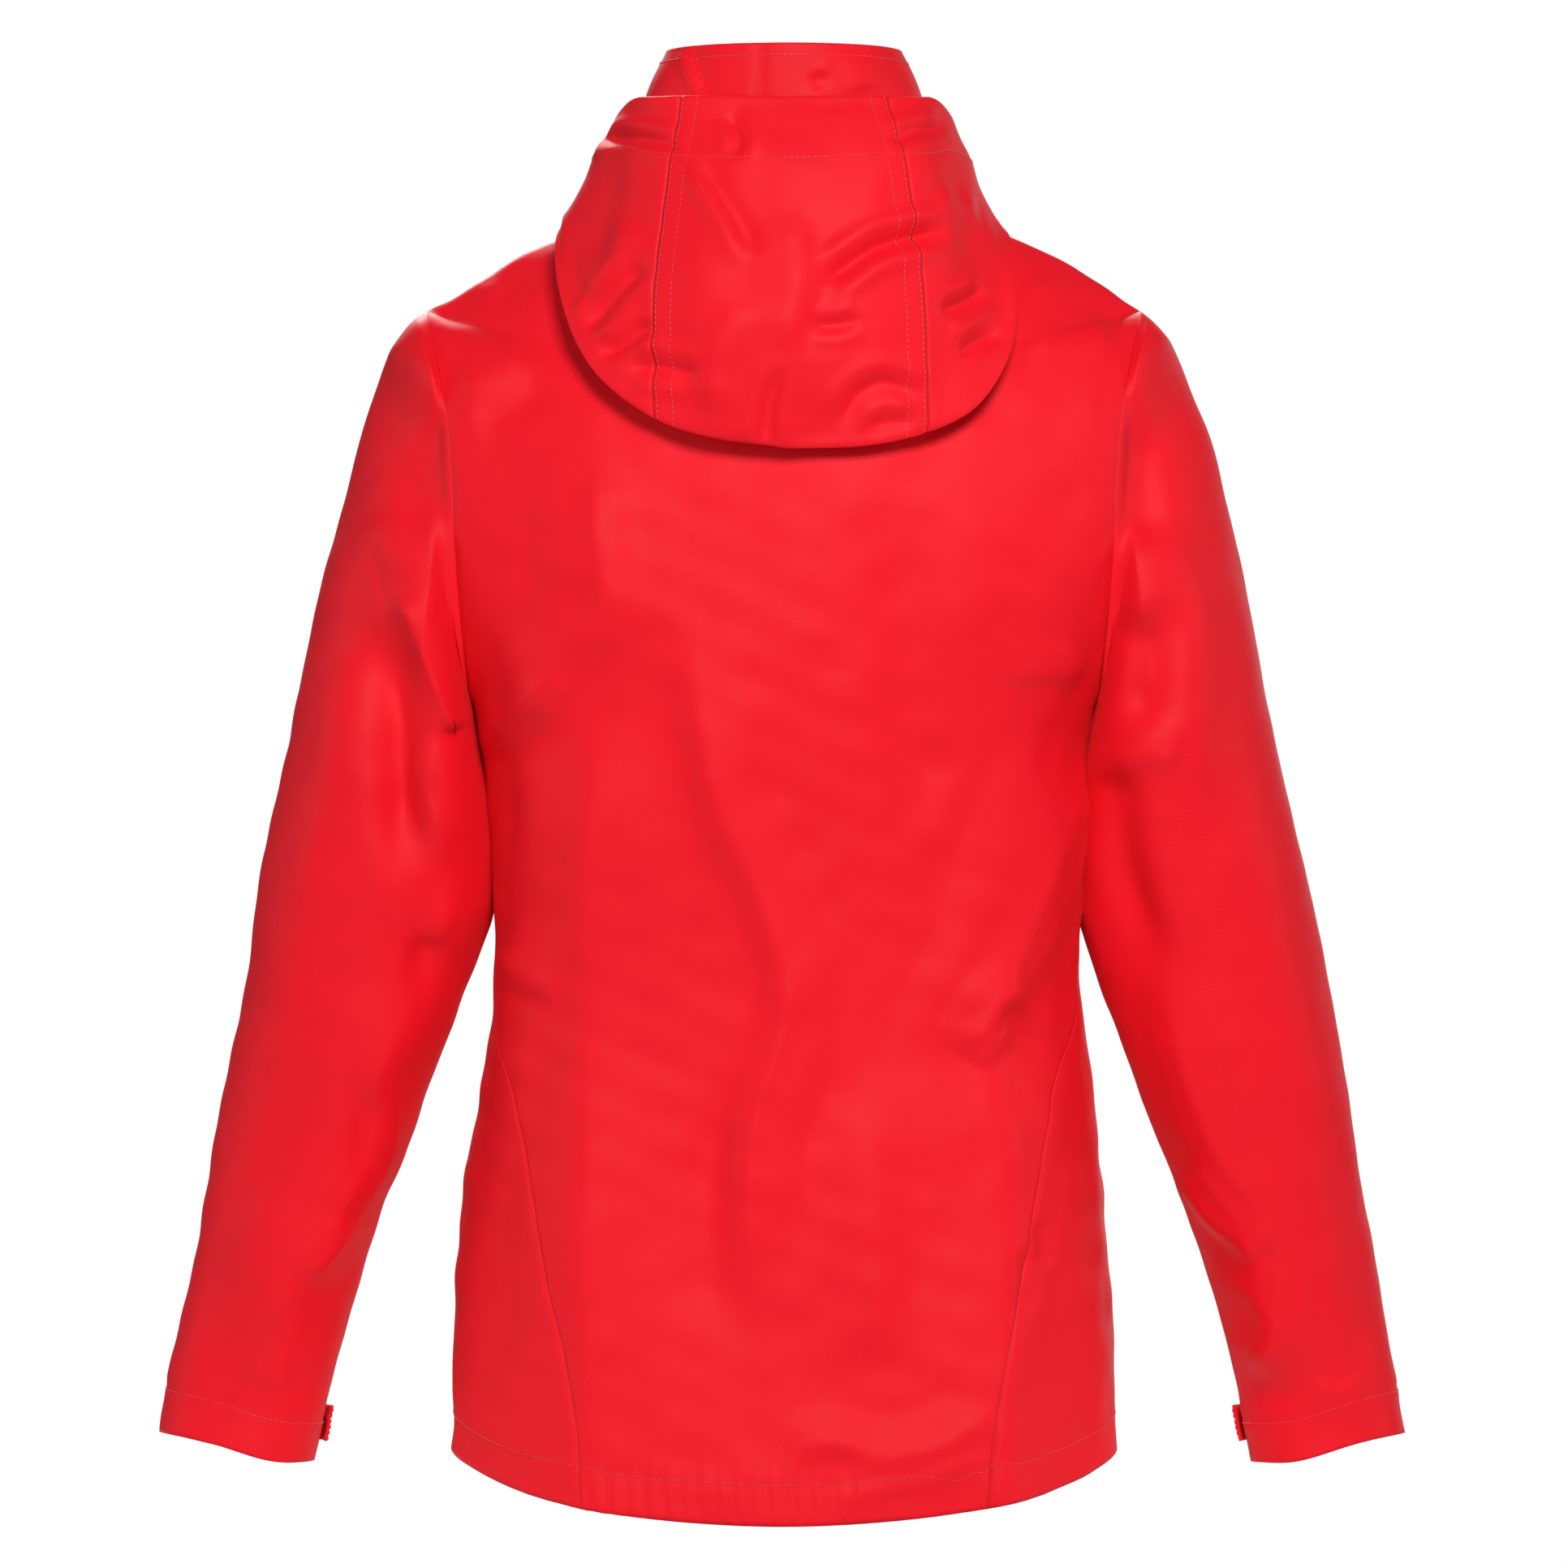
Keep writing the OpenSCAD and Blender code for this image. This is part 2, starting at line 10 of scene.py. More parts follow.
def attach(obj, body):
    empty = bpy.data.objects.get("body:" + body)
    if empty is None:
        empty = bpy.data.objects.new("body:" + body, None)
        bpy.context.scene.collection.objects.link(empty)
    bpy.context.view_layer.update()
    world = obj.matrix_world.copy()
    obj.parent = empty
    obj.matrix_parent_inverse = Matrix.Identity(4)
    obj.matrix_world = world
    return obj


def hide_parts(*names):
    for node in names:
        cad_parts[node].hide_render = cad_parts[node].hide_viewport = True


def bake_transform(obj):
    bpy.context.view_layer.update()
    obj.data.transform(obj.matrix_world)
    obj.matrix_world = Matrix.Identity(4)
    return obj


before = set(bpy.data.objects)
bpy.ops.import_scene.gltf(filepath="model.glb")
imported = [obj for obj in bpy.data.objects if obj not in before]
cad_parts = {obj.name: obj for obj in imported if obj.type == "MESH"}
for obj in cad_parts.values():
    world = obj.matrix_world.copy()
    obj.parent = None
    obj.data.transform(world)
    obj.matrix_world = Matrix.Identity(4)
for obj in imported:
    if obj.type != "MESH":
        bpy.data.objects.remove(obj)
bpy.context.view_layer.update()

# Sizes are in millimetres until a mesh is made. The wearer's left is +X, the back faces +Y.
MM = 0.001

# ---------------------------------------------------------------- sizes

BACK_DROP = 715
SIDE_DROP = 674
UNDERARM = 286
HEM = 19
FABRIC = 0.9
THIN_FABRIC = 0.8
NECK_SIDE = np.array([78, -62, -9])
NECK_FRONT_Z = -62
COLLAR_TOP_SIDE = np.array([63.5, -67, 72.5])
COLLAR_BACK = 75
COLLAR_FRONT = 45
COLLAR_LEAN = 5
AXIS_Y = -65
FRONT_SLOPE = 55 / 735
ZIP_GAP = 5
ARMHOLE_Z = -176
ARMHOLE_H = 110
ARMHOLE_D = 70
ARMHOLE_SHARE = 0.64
STITCH_PITCH = 3.1
STITCH_LIFT = 0.22
FLIP_X = np.array([-1, 1, 1])


# ---------------------------------------------------------------- curves

def smooth(t):
    t = np.clip(t, 0, 1)
    return t * t * (3 - 2 * t)


def mix(a, b, t):
    return a + (b - a) * t


def unit(v):
    return v / np.maximum(np.linalg.norm(v, axis=-1, keepdims=True), 1e-9)


def curve(pairs):
    """Smooth function of one number through (x, value) pairs, where value may be a list."""
    pairs = sorted(pairs, key=lambda p: p[0])
    x = np.array([p[0] for p in pairs], float)
    v = np.array([np.atleast_1d(p[1]) for p in pairs], float)
    slope = np.zeros_like(v)
    step = np.diff(v, axis=0) / np.diff(x)[:, None]
    slope[0], slope[-1] = step[0], step[-1]
    w0, w1 = np.diff(x)[1:, None], np.diff(x)[:-1, None]
    slope[1:-1] = (step[:-1] * w0 + step[1:] * w1) / (w0 + w1)

    def at(q):
        q = np.clip(np.asarray(q, float), x[0], x[-1])
        i = np.clip(np.searchsorted(x, q, side="right") - 1, 0, len(x) - 2)
        h = (x[i + 1] - x[i])[..., None]
        t = (q - x[i])[..., None] / h
        a = (1 + 2 * t) * (1 - t) ** 2 * v[i] + t * (1 - t) ** 2 * h * slope[i]
        b = t * t * (3 - 2 * t) * v[i + 1] + t * t * (t - 1) * h * slope[i + 1]
        out = a + b
        return out[..., 0] if out.shape[-1] == 1 else out

    return at


def path(points, count=60):
    """Smooth line through a few given points, evenly spaced."""
    points = np.array(points, float)
    if len(points) == 2:
        return mix(points[0], points[1], np.linspace(0, 1, count)[:, None])
    run = np.concatenate([[0], np.cumsum(np.linalg.norm(np.diff(points, axis=0), axis=1))])
    return curve(list(zip(run, points)))(np.linspace(0, run[-1], count))


# ---------------------------------------------------------------- the body's surface

half_width = curve([(-SIDE_DROP, 179), (-604, 176), (-535, 170), (-480, 162.5), (-426, 156.5),
                    (-380, 158), (-330, 162), (-UNDERARM, 168)])
back_y = curve([(-BACK_DROP, 58), (-560, 48), (-426, 42), (-340, 47), (-250, 52), (-150, 45),
                (-60, 22), (0, 0)])
back_seam = curve([(-BACK_DROP, 56), (-674, 55), (-643, 54), (-596, 50), (-567, 46), (-525, 40),
                   (-489, 32), (-470, 26.5), (-447, 15.5), (-420, 8.5), (-370, 6), (-200, 6)])
front_seam = curve([(-SIDE_DROP, 28), (-480, 18), (-380, 8), (-330, 6), (-200, 6)])
armhole_x = curve([(-288, 167), (-205, 175), (-150, 178), (-110, 182), (-85, 187), (-64, 192)])


def front_y(z):
    return -205 + (z + 675) * FRONT_SLOPE


def armhole(phi, side):
    """Armhole edge: phi is 0 at the shoulder, pi under the arm; side is +1 at the back."""
    z = ARMHOLE_Z + ARMHOLE_H * np.cos(phi)
    return np.stack([armhole_x(z), AXIS_Y + side * ARMHOLE_D * np.sin(phi), z], -1)


def lower(t, a, side):
    """Body below the arms: t runs from hem to underarm, a from the side to the centre."""
    zs = mix(-SIDE_DROP, -UNDERARM, t)
    if side > 0:
        zc = mix(-BACK_DROP, -270, t)
        yc = back_y(zc)
    else:
        zc = mix(-SIDE_DROP - 1, -270, t)
        yc = front_y(zc)
    k = np.sin(a)
    # The hem is cut to a shallow curve at the sides
    drop = k ** mix(1.25, 1.0, smooth(t / 0.3))
    return np.stack([half_width(zs) * np.cos(a), mix(AXIS_Y, yc, k), mix(zs, zc, drop)], -1)


def seam_angles(t, side):
    z = mix(-SIDE_DROP, -UNDERARM, t)
    return np.radians(back_seam(z) if side > 0 else front_seam(z))


def upper(v, u, side):
    """Body above the underarm: v runs from underarm to neck, u from the edge to the centre."""
    start = np.radians(6) * np.clip(1 - v / ARMHOLE_SHARE, 0, 1)
    a = mix(start, math.pi / 2, u)
    ring = armhole(np.radians(mix(170, 0, np.clip(v / ARMHOLE_SHARE, 0, 1))), side)
    s = np.clip((v - ARMHOLE_SHARE) / (1 - ARMHOLE_SHARE), 0, 1)[..., None]
    shoulder = mix(armhole(0, side), NECK_SIDE, s) + np.array([0, 0, 6]) * np.sin(math.pi * s) ** 2
    e = np.where((v < ARMHOLE_SHARE)[..., None], ring, shoulder)
    base = lower(np.ones_like(v), start, side)
    e = mix(base, e, smooth(v / 0.06)[..., None])
    zc = mix(-270, 0 if side > 0 else NECK_FRONT_Z, v)
    yc = back_y(zc) if side > 0 else front_y(zc)
    # The back and chest run flat into the sleeves, and round only below the arms
    k = np.clip((np.sin(a) - np.sin(start)) / (1 - np.sin(start)), 0, 1)
    k = k ** (1 + 0.85 * smooth(v / 0.6))
    return np.stack([e[..., 0] * np.cos(a) / np.cos(start), mix(e[..., 1], yc, k),
                     mix(e[..., 2], zc, k)], -1)


LOW_ROWS, HIGH_ROWS = 150, 105


def eased(grid, row, u):
    """Takes out the crease across the body at one row, except along the seam at its edge."""
    near = smooth(1 - np.abs(np.arange(len(grid)) - row) / 22)[:, None]
    share = 0.5 * near * smooth(u / 0.15)
    for _ in range(90):
        mean = grid.copy()
        mean[1:-1] = (grid[:-2] + grid[2:]) / 2
        grid = mix(grid, mean, share[..., None])
    return grid


def body_rows(side, cols):
    """Grid of points from the side seam (u = 0) to the centre line (u = 1), hem to neck."""
    u = np.linspace(0, 1, cols + 1)[None, :]
    t = np.linspace(0, 1, LOW_ROWS + 1)[:, None]
    start = seam_angles(t, side)
    low = lower(t + 0 * u, mix(start, math.pi / 2, u), side)
    v = np.linspace(0, 1, HIGH_ROWS + 1)[1:, None]
    return eased(np.concatenate([low, upper(v + 0 * u, 0 * v + u, side)]), LOW_ROWS, u)


def mirrored(grid):
    return grid[:, ::-1] * FLIP_X


def back_grid():
    left = body_rows(1, 76)
    return np.concatenate([left, mirrored(left)[:, 1:]], axis=1)


def front_grid():
    whole = body_rows(-1, 72)
    # The centre edge stops beside the zip, so each row is cut at the same distance from it
    out = np.empty_like(whole)
    for i, row in enumerate(whole):
        x = row[::-1, 0]
        want = np.linspace(row[0, 0], ZIP_GAP, len(row))
        for k in range(3):
            out[i, :, k] = np.interp(want, x, row[::-1, k])
    return out[:, ::-1]


def side_grid():
    t = np.linspace(0, 1, LOW_ROWS + 1)[:, None]
    u = np.linspace(0, 1, 33)[None, :]
    a = mix(-seam_angles(t, -1), seam_angles(t, 1), u)
    front = lower(t + 0 * u, np.abs(a), -1)
    back = lower(t + 0 * u, np.abs(a), 1)
    return np.where((a > 0)[..., None], back, front)


# ---------------------------------------------------------------- folds

def along(points, line):
    """Distance to a line seen from behind, signed by side, and share of its length."""
    p = points.reshape(-1, 2)
    best = np.full(len(p), 1e9)
    sign = np.zeros(len(p))
    share = np.zeros(len(p))
    a, b = line[:-1], line[1:]
    for i, (s, e) in enumerate(zip(a, b)):
        d = e - s
        t = np.clip((p - s) @ d / (d @ d), 0, 1)
        q = p - (s + t[:, None] * d)
        dist = np.hypot(q[:, 0], q[:, 1])
        near = dist < best
        best = np.where(near, dist, best)
        sign = np.where(near, np.sign(d[0] * q[:, 1] - d[1] * q[:, 0]), sign)
        share = np.where(near, (i + t) / len(a), share)
    shape = points.shape[:-1]
    return (best * sign).reshape(shape), share.reshape(shape)


FOLD_GAIN = 1.75


def fold(kind, width, depth, *points, fade=(0.25, 0.25)):
    """One fold along a line of (x, z) points; it fades out over a share of its length at each end.

    A ridge, valley or crest is the same on both sides of its line. A pinch is a sharp crease
    between two swellings, a step and a soft fold rise on one side and sink on the other, and a
    drape falls steeply on its left side, or on its right where the width is negative.
    """
    return {"kind": kind, "width": width, "depth": depth * FOLD_GAIN, "line": path(points, 24),
            "fade": fade}


def fold_height(f, xz):
    """How far one fold lifts the cloth at points seen from behind."""
    reach = 3.2 * abs(f["width"])
    lo, hi = f["line"].min(0) - reach, f["line"].max(0) + reach
    inside = ((xz > lo) & (xz < hi)).all(-1)
    out = np.zeros(xz.shape[:-1])
    if not inside.any():
        return out
    d, s = along(xz[inside][None], f["line"])
    d, s = d[0], s[0]
    w, depth = f["width"], f["depth"]
    q = d / w
    shape = {
        "ridge": lambda: np.exp(-q * q),
        "valley": lambda: -np.exp(-q * q),
        "step": lambda: q * np.exp(0.5 - q * q),
        "pinch": lambda: -1 / (1 + 6 * q * q) + 0.45 * np.exp(-((np.abs(q) - 1.3) / 0.6) ** 2),
        "soft": lambda: np.tanh(1.6 * q) * np.exp(-0.35 * q * q),
        "drape": lambda: np.where(q > 0, np.exp(-2.0 * q), np.exp(0.6 * q))
        * (1 - 0.3 * np.exp(-(q / 0.22) ** 2)) * smooth((3.1 - np.abs(q)) / 1.6),
        "crest": lambda: np.exp(0.2 - np.sqrt(q * q + 0.04)) * smooth((3.0 - np.abs(q)) / 2),
    }[f["kind"]]()
    first, last = f["fade"]
    fade = (smooth(s / first) if first else 1) * (smooth((1 - s) / last) if last else 1)
    ends = np.exp(-np.maximum(np.abs(q) - 2.2, 0) ** 2 * 4)
    out[inside] = depth * shape * fade * ends
    return out


def ripple(points, scale, seed, stretch=(1, 1, 1)):
    """Gentle random swell of the cloth, from a sum of waves, about -1 to 1."""
    rng = np.random.default_rng(seed)
    out = np.zeros(points.shape[:-1])
    for _ in range(14):
        k = unit(rng.normal(size=3)) * rng.uniform(0.6, 1.6) * 2 * math.pi / scale
        out += np.sin(points @ (k * np.array(stretch)) + rng.uniform(0, 6.28))
    return out / 5.3


BACK_FOLDS = [
    # the shoulder blades stand out, and the cloth falls in behind them
    fold("drape", -17, 6.5, (94, -132), (92, -185), (88, -222), (112, -262), (146, -300)),
    fold("drape", 15, 5.5, (166, -304), (140, -290), (104, -262), fade=(0.3, 0.4)),
    fold("crest", 30, 9, (95, -262), (98, -330), (102, -420), (99, -520), (100, -620),
         (101, -712), fade=(0.2, 0)),
    fold("valley", 18, 3.0, (-65, -165), (-67, -230), (-70, -300), (-84, -350)),
    fold("drape", 7, 2.2, (-112, -262), (-140, -263), (-164, -260)),
    # the long fold down the middle
    fold("drape", 13, 7.0, (57, -216), (50, -270), (34, -342), (15, -386), (2, -436), (6, -456),
         (19, -494), (23, -545), (15, -610)),
    fold("valley", 14, 2.4, (30, -480), (40, -540), (36, -620)),
    # the right side turns under from the armpit to the hem
    fold("drape", -20, 8.5, (-166, -306), (-150, -350), (-124, -420), (-100, -470),
         fade=(0.2, 0.25)),
    fold("drape", -9, 4.5, (-128, -428), (-112, -438), (-99, -466)),
    fold("drape", -8, 3.6, (-120, -452), (-108, -462), (-100, -472)),
    fold("crest", 30, 9, (-103, -440), (-112, -500), (-115, -560), (-112, -640), (-113, -712),
         fade=(0.25, 0)),
    fold("valley", 5, 2.0, (-131, -552), (-134, -566), (-135, -580)),
    fold("valley", 5, 1.6, (-121, -566), (-122, -590), (-120, -606)),
    fold("drape", 9, 4.0, (2, -690), (-16, -674), (-56, -680), (-90, -668), (-112, -650)),
    fold("drape", 8, 2.6, (-20, -706), (-48, -697), (-80, -690), (-110, -674)),
    fold("ridge", 16, 2.4, (-40, -480), (-46, -560), (-44, -640)),
    # waist
    fold("drape", 10, 2.6, (154, -412), (132, -426), (110, -432)),
    # shoulders
    fold("drape", 9, 3.0, (-122, -60), (-150, -58), (-180, -60)),
    fold("drape", 11, 3.4, (-124, -86), (-155, -84), (-180, -80)),
    fold("drape", 9, 2.6, (184, -58), (165, -56), (150, -61)),
    fold("step", 14, 2.6, (130, -96), (150, -110), (172, -122)),
]

FRONT_FOLDS = [
    fold("soft", 16, 4.0, (70, -200), (66, -300), (60, -400), (66, -520)),
    fold("soft", 16, -4.0, (-66, -190), (-70, -290), (-62, -390), (-72, -500)),
    fold("pinch", 8, 2.6, (166, -300), (138, -280), (108, -262), fade=(0, 0.5)),
    fold("pinch", 8, 2.6, (-166, -302), (-136, -284), (-104, -270), fade=(0, 0.5)),
    fold("ridge", 13, 2.2, (120, -110), (134, -170), (150, -230)),
    fold("ridge", 13, 2.2, (-118, -116), (-130, -172), (-152, -236)),
    fold("pinch", 7, 2.2, (100, -440), (128, -424), (154, -410)),
    fold("pinch", 7, 2.2, (-96, -446), (-126, -428), (-154, -414)),
    fold("soft", 18, 3.4, (52, -480), (56, -580), (54, -674), fade=(0.4, 0)),
    fold("soft", 18, -3.4, (-54, -470), (-50, -580), (-58, -674), fade=(0.4, 0)),
    fold("ridge", 9, 1.6, (30, -120), (60, -150), (96, -165)),
    fold("ridge", 9, 1.6, (-34, -128), (-62, -148), (-98, -170)),
]

HOOD_FOLDS = [
    fold("pinch", 6, 2.8, (96, 26), (80, 26), (65, 23), (54, 15), fade=(0, 0.4)),
    fold("step", 7, 2.6, (50, 14), (38, -5), (28, -22), (16, -44)),
    fold("pinch", 8, 4.2, (-18, -56), (-34, -44), (-50, -34), (-68, -29), (-90, -25)),
    fold("pinch", 6, 2.2, (-14, -75), (-28, -76), (-42, -72)),
    fold("pinch", 7, 3.0, (-82, -68), (-95, -64), (-110, -54)),
    fold("pinch", 8, 2.6, (-29, -134), (-41, -113), (-53, -107), (-66, -110), (-76, -117)),
    fold("pinch", 7, 1.6, (-43, -132), (-56, -128), (-70, -128)),
    fold("pinch", 8, 2.4, (84, -97), (67, -98), (54, -101), (44, -105)),
    fold("pinch", 6, 2.2, (-56, 19), (-66, 27), (-88, 31)),
    fold("ridge", 9, 2.6, (78, -20), (92, -40), (110, -58)),
    fold("pinch", 7, 2.8, (74, -40), (90, -58), (108, -80)),
    fold("pinch", 7, 2.6, (70, -72), (84, -84), (100, -92)),
    fold("ridge", 10, 2.4, (20, -60), (34, -90), (40, -126)),
    fold("pinch", 7, 2.4, (0, -96), (8, -118), (10, -140), fade=(0.4, 0)),
    fold("soft", 12, 3.0, (-10, -10), (-14, -50), (-6, -96)),
    fold("pinch", 7, 2.6, (-92, -92), (-104, -84), (-118, -78)),
    fold("ridge", 8, 2.2, (-78, -6), (-92, -12), (-106, -10)),
    fold("pinch", 6, 2.0, (30, 40), (24, 26), (26, 12)),
]

LEFT_SLEEVE_FOLDS = [
    fold("drape", 14, 7.0, (216, -95), (200, -104), (180, -118), fade=(0.1, 0.1)),
    fold("ridge", 16, 3.4, (248, -246), (232, -214), (220, -193), (206, -205), (194, -224),
         fade=(0.4, 0.4)),
    fold("valley", 16, 11.0, (208, -220), (206, -258), (203, -297), (201, -336), (206, -378),
         fade=(0.3, 0.35)),
    fold("crest", 9, 5.0, (207, -215), (197, -242), (187, -266), (174, -292), fade=(0.2, 0.1)),
    fold("drape", 10, 6.0, (182, -290), (195, -313), (189, -343), (177, -368), fade=(0.35, 0.4)),
    fold("drape", 9, 5.0, (176, -368), (186, -392), (197, -412), fade=(0.45, 0.4)),
    fold("crest", 26, 5.5, (234, -232), (240, -300), (252, -370), (264, -450), fade=(0.3, 0.4)),
    fold("valley", 9, 3.2, (184, -384), (193, -416), (196, -441), fade=(0.45, 0.45)),
    fold("drape", -17, 8.0, (186, -412), (197, -440), (216, -474), (218, -512), (238, -552),
         (267, -596), (265, -645), fade=(0.25, 0.2)),
    fold("valley", 8, 3.0, (224, -470), (226, -505), (232, -540), fade=(0.4, 0.4)),
    fold("valley", 14, 5.0, (188, -108), (191, -150), (193, -196), fade=(0.3, 0.4)),
    fold("drape", 7, 3.0, (240, -548), (246, -566), (262, -584)),
    fold("drape", 8, 3.0, (292, -632), (278, -640), (262, -640)),
    fold("valley", 22, 3.0, (286, -560), (300, -610), (306, -650), fade=(0.4, 0)),
]

RIGHT_SLEEVE_FOLDS = [
    fold("drape", -12, 6.0, (-214, -84), (-200, -94), (-182, -110), fade=(0.1, 0.1)),
    fold("valley", 13, 6.5, (-189, -112), (-191, -150), (-192, -200), fade=(0.3, 0.3)),
    fold("valley", 13, 7.0, (-190, -222), (-194, -252), (-190, -296), fade=(0.3, 0.3)),
    fold("crest", 20, 4.5, (-204, -170), (-218, -230), (-222, -300), (-230, -360),
         fade=(0.3, 0.4)),
    fold("drape", 8, 3.0, (-174, -310), (-192, -306), (-212, -312)),
    fold("valley", 14, 7.0, (-177, -306), (-176, -340), (-184, -384), (-196, -430),
         fade=(0.2, 0.4)),
    fold("drape", 18, 9.0, (-192, -410), (-212, -470), (-232, -520), (-256, -560), (-264, -604),
         (-252, -650), fade=(0.25, 0.15)),
    fold("drape", 7, 4.5, (-214, -526), (-236, -556), (-259, -576), fade=(0.2, 0.15)),
    fold("drape", 9, 4.0, (-232, -584), (-252, -594), (-264, -612), (-250, -640)),
    fold("drape", 8, 2.4, (-312, -640), (-296, -645), (-284, -640)),
    fold("crest", 26, 4.0, (-240, -300), (-258, -380), (-276, -460), (-292, -560),
         fade=(0.3, 0.3)),
]

# The hood and the front crease less deeply than the back
for one in HOOD_FOLDS:
    one["depth"] *= 0.85
for one in FRONT_FOLDS:
    one["depth"] *= 0.95


def outward(grid):
    """Direction out of the body, the same on both sides of every seam."""
    middle = np.stack([0.6 * grid[..., 0], np.full(grid.shape[:-1], float(AXIS_Y)),
                       np.minimum(grid[..., 2], -150)], -1)
    return unit(grid - middle)


def gap_to(points, line):
    """Distance from each point to a line in space, and the share along it."""
    flat = points.reshape(-1, 3)
    best = np.full(len(flat), 1e9)
    share = np.zeros(len(flat))
    for i, (a, b) in enumerate(zip(line[:-1], line[1:])):
        d = b - a
        t = np.clip((flat - a) @ d / (d @ d), 0, 1)
        gap = np.linalg.norm(flat - a - t[:, None] * d, axis=1)
        near = gap < best
        best = np.where(near, gap, best)
        share = np.where(near, (i + t) / (len(line) - 1), share)
    return best.reshape(points.shape[:-1]), share.reshape(points.shape[:-1])


def seam_relief(points, line, seed, groove, lap):
    """A seam sinks along its line, and the cloth beside it puckers over the seam allowance."""
    gap, share = gap_to(points, line)
    length = np.linalg.norm(np.diff(line, axis=0), axis=1).sum()
    rng = np.random.default_rng(seed)
    wave = sum(np.sin(share * length * 2 * math.pi / w + rng.uniform(0, 6.28))
               for w in (9, 13.5, 21)) / 3
    side = np.exp(-((gap - 4.5) / 3.6) ** 2) * (1 - np.exp(-(gap / 1.6) ** 2))
    return -groove * np.exp(-(gap / 1.4) ** 2) + side * lap * (1 + 0.7 * wave)


# How deep a seam's groove is, and how high the cloth laps beside it
ARMHOLE_SEAM, SIDE_SEAM, PLAIN_SEAM = (0.0, 0.25), (0.14, 0.0), (0.14, 0.24)


def lifted(grid, folds, facing, out, swell, seed, held, seams=()):
    """Moves the cloth out by its folds; facing is +1 for the back, -1 for the front.

    The cloth stays where it is on the held lines, and its seams are drawn over the folds.
    """
    xz = grid[..., [0, 2]]
    h = sum((fold_height(f, xz) for f in folds), np.zeros(grid.shape[:-1]))
    h = h * smooth((out[..., 1] * facing + 0.12) / 0.4)
    h = h + swell * ripple(grid, 105, seed, (1, 1, 0.6)) + 0.3 * swell * ripple(grid, 36, seed + 1)
    for line, reach in held:
        h = h * smooth(gap_to(grid, line)[0] / reach)
    for k, (line, strength) in enumerate(seams):
        h = h + seam_relief(grid, line, seed * 10 + k, *strength)
    return grid + h[..., None] * out


def grid_normals(grid):
    du = np.gradient(grid, axis=1)
    dv = np.gradient(grid, axis=0)
    return unit(np.cross(du, dv))


# ---------------------------------------------------------------- meshes

def mesh_object(name, points, faces, materials, face_slot, uv):
    mesh = bpy.data.meshes.new(name)
    mesh.from_pydata((np.asarray(points) * MM).tolist(), [], [list(map(int, f)) for f in faces])
    for m in materials:
        mesh.materials.append(m)
    mesh.polygons.foreach_set("material_index", np.asarray(face_slot, np.int32))
    layer = mesh.uv_layers.new(name="cloth")
    loops = np.empty(len(mesh.loops), np.int32)
    mesh.loops.foreach_get("vertex_index", loops)
    layer.data.foreach_set("uv", uv[loops].astype(np.float32).ravel())
    mesh.polygons.foreach_set("use_smooth", np.ones(len(mesh.polygons), bool))
    mesh.update()
    obj = bpy.data.objects.new(name, mesh)
    bpy.context.scene.collection.objects.link(obj)
    return obj


def grid_uv(grid):
    """Distance along the cloth in metres, so that a weave keeps its size."""
    du = np.linalg.norm(np.diff(grid, axis=1), axis=2).mean(0)
    dv = np.linalg.norm(np.diff(grid, axis=0), axis=2).mean(1)
    u = np.concatenate([[0], np.cumsum(du)])
    v = np.concatenate([[0], np.cumsum(dv)])
    return np.stack(np.meshgrid(u, v), -1).reshape(-1, 2) * MM


def cloth(name, grid, outside, inside, thick=FABRIC, ring=False, flip=False):
    """Closed sheet: the grid is its outer face, with a second face inside and an edge round it."""
    n = grid_normals(grid)
    if ring:
        wrap = np.concatenate([grid[:, -2:-1], grid, grid[:, 1:2]], axis=1)
        n = grid_normals(wrap)[:, 1:-1]
        grid, n = grid[:, :-1], n[:, :-1]
    if flip:
        n = -n
    rows, cols = grid.shape[:2]
    back = grid - n * thick
    points = np.concatenate([grid.reshape(-1, 3), back.reshape(-1, 3)])
    index = np.arange(rows * cols).reshape(rows, cols)
    nxt = np.roll(index, -1, axis=1)
    if not ring:
        nxt = nxt[:, :-1]
    cur = index if ring else index[:, :-1]
    a, b, c, d = cur[:-1].ravel(), nxt[:-1].ravel(), nxt[1:].ravel(), cur[1:].ravel()
    front = np.stack([a, b, c, d], 1)
    off = rows * cols
    rear = np.stack([a, d, c, b], 1) + off
    e0, e1 = cur[0], nxt[0]
    low = np.stack([e0, e0 + off, e1 + off, e1], 1)
    e0, e1 = cur[-1], nxt[-1]
    high = np.stack([e0, e1, e1 + off, e0 + off], 1)
    parts = [front, rear, low, high]
    slots = [np.zeros(len(front)), np.ones(len(rear)), np.zeros(len(low)), np.zeros(len(high))]
    if not ring:
        s0, s1 = index[:-1, 0], index[1:, 0]
        parts.append(np.stack([s0, s1, s1 + off, s0 + off], 1))
        s0, s1 = index[:-1, -1], index[1:, -1]
        parts.append(np.stack([s0, s0 + off, s1 + off, s1], 1))
        slots += [np.zeros(rows - 1), np.zeros(rows - 1)]
    faces = np.concatenate(parts)
    if flip:
        faces = faces[:, ::-1]
    uv = grid_uv(grid)
    return mesh_object(name, points, faces, [outside, inside], np.concatenate(slots),
                       np.concatenate([uv, uv]))


# ---------------------------------------------------------------- shader maths

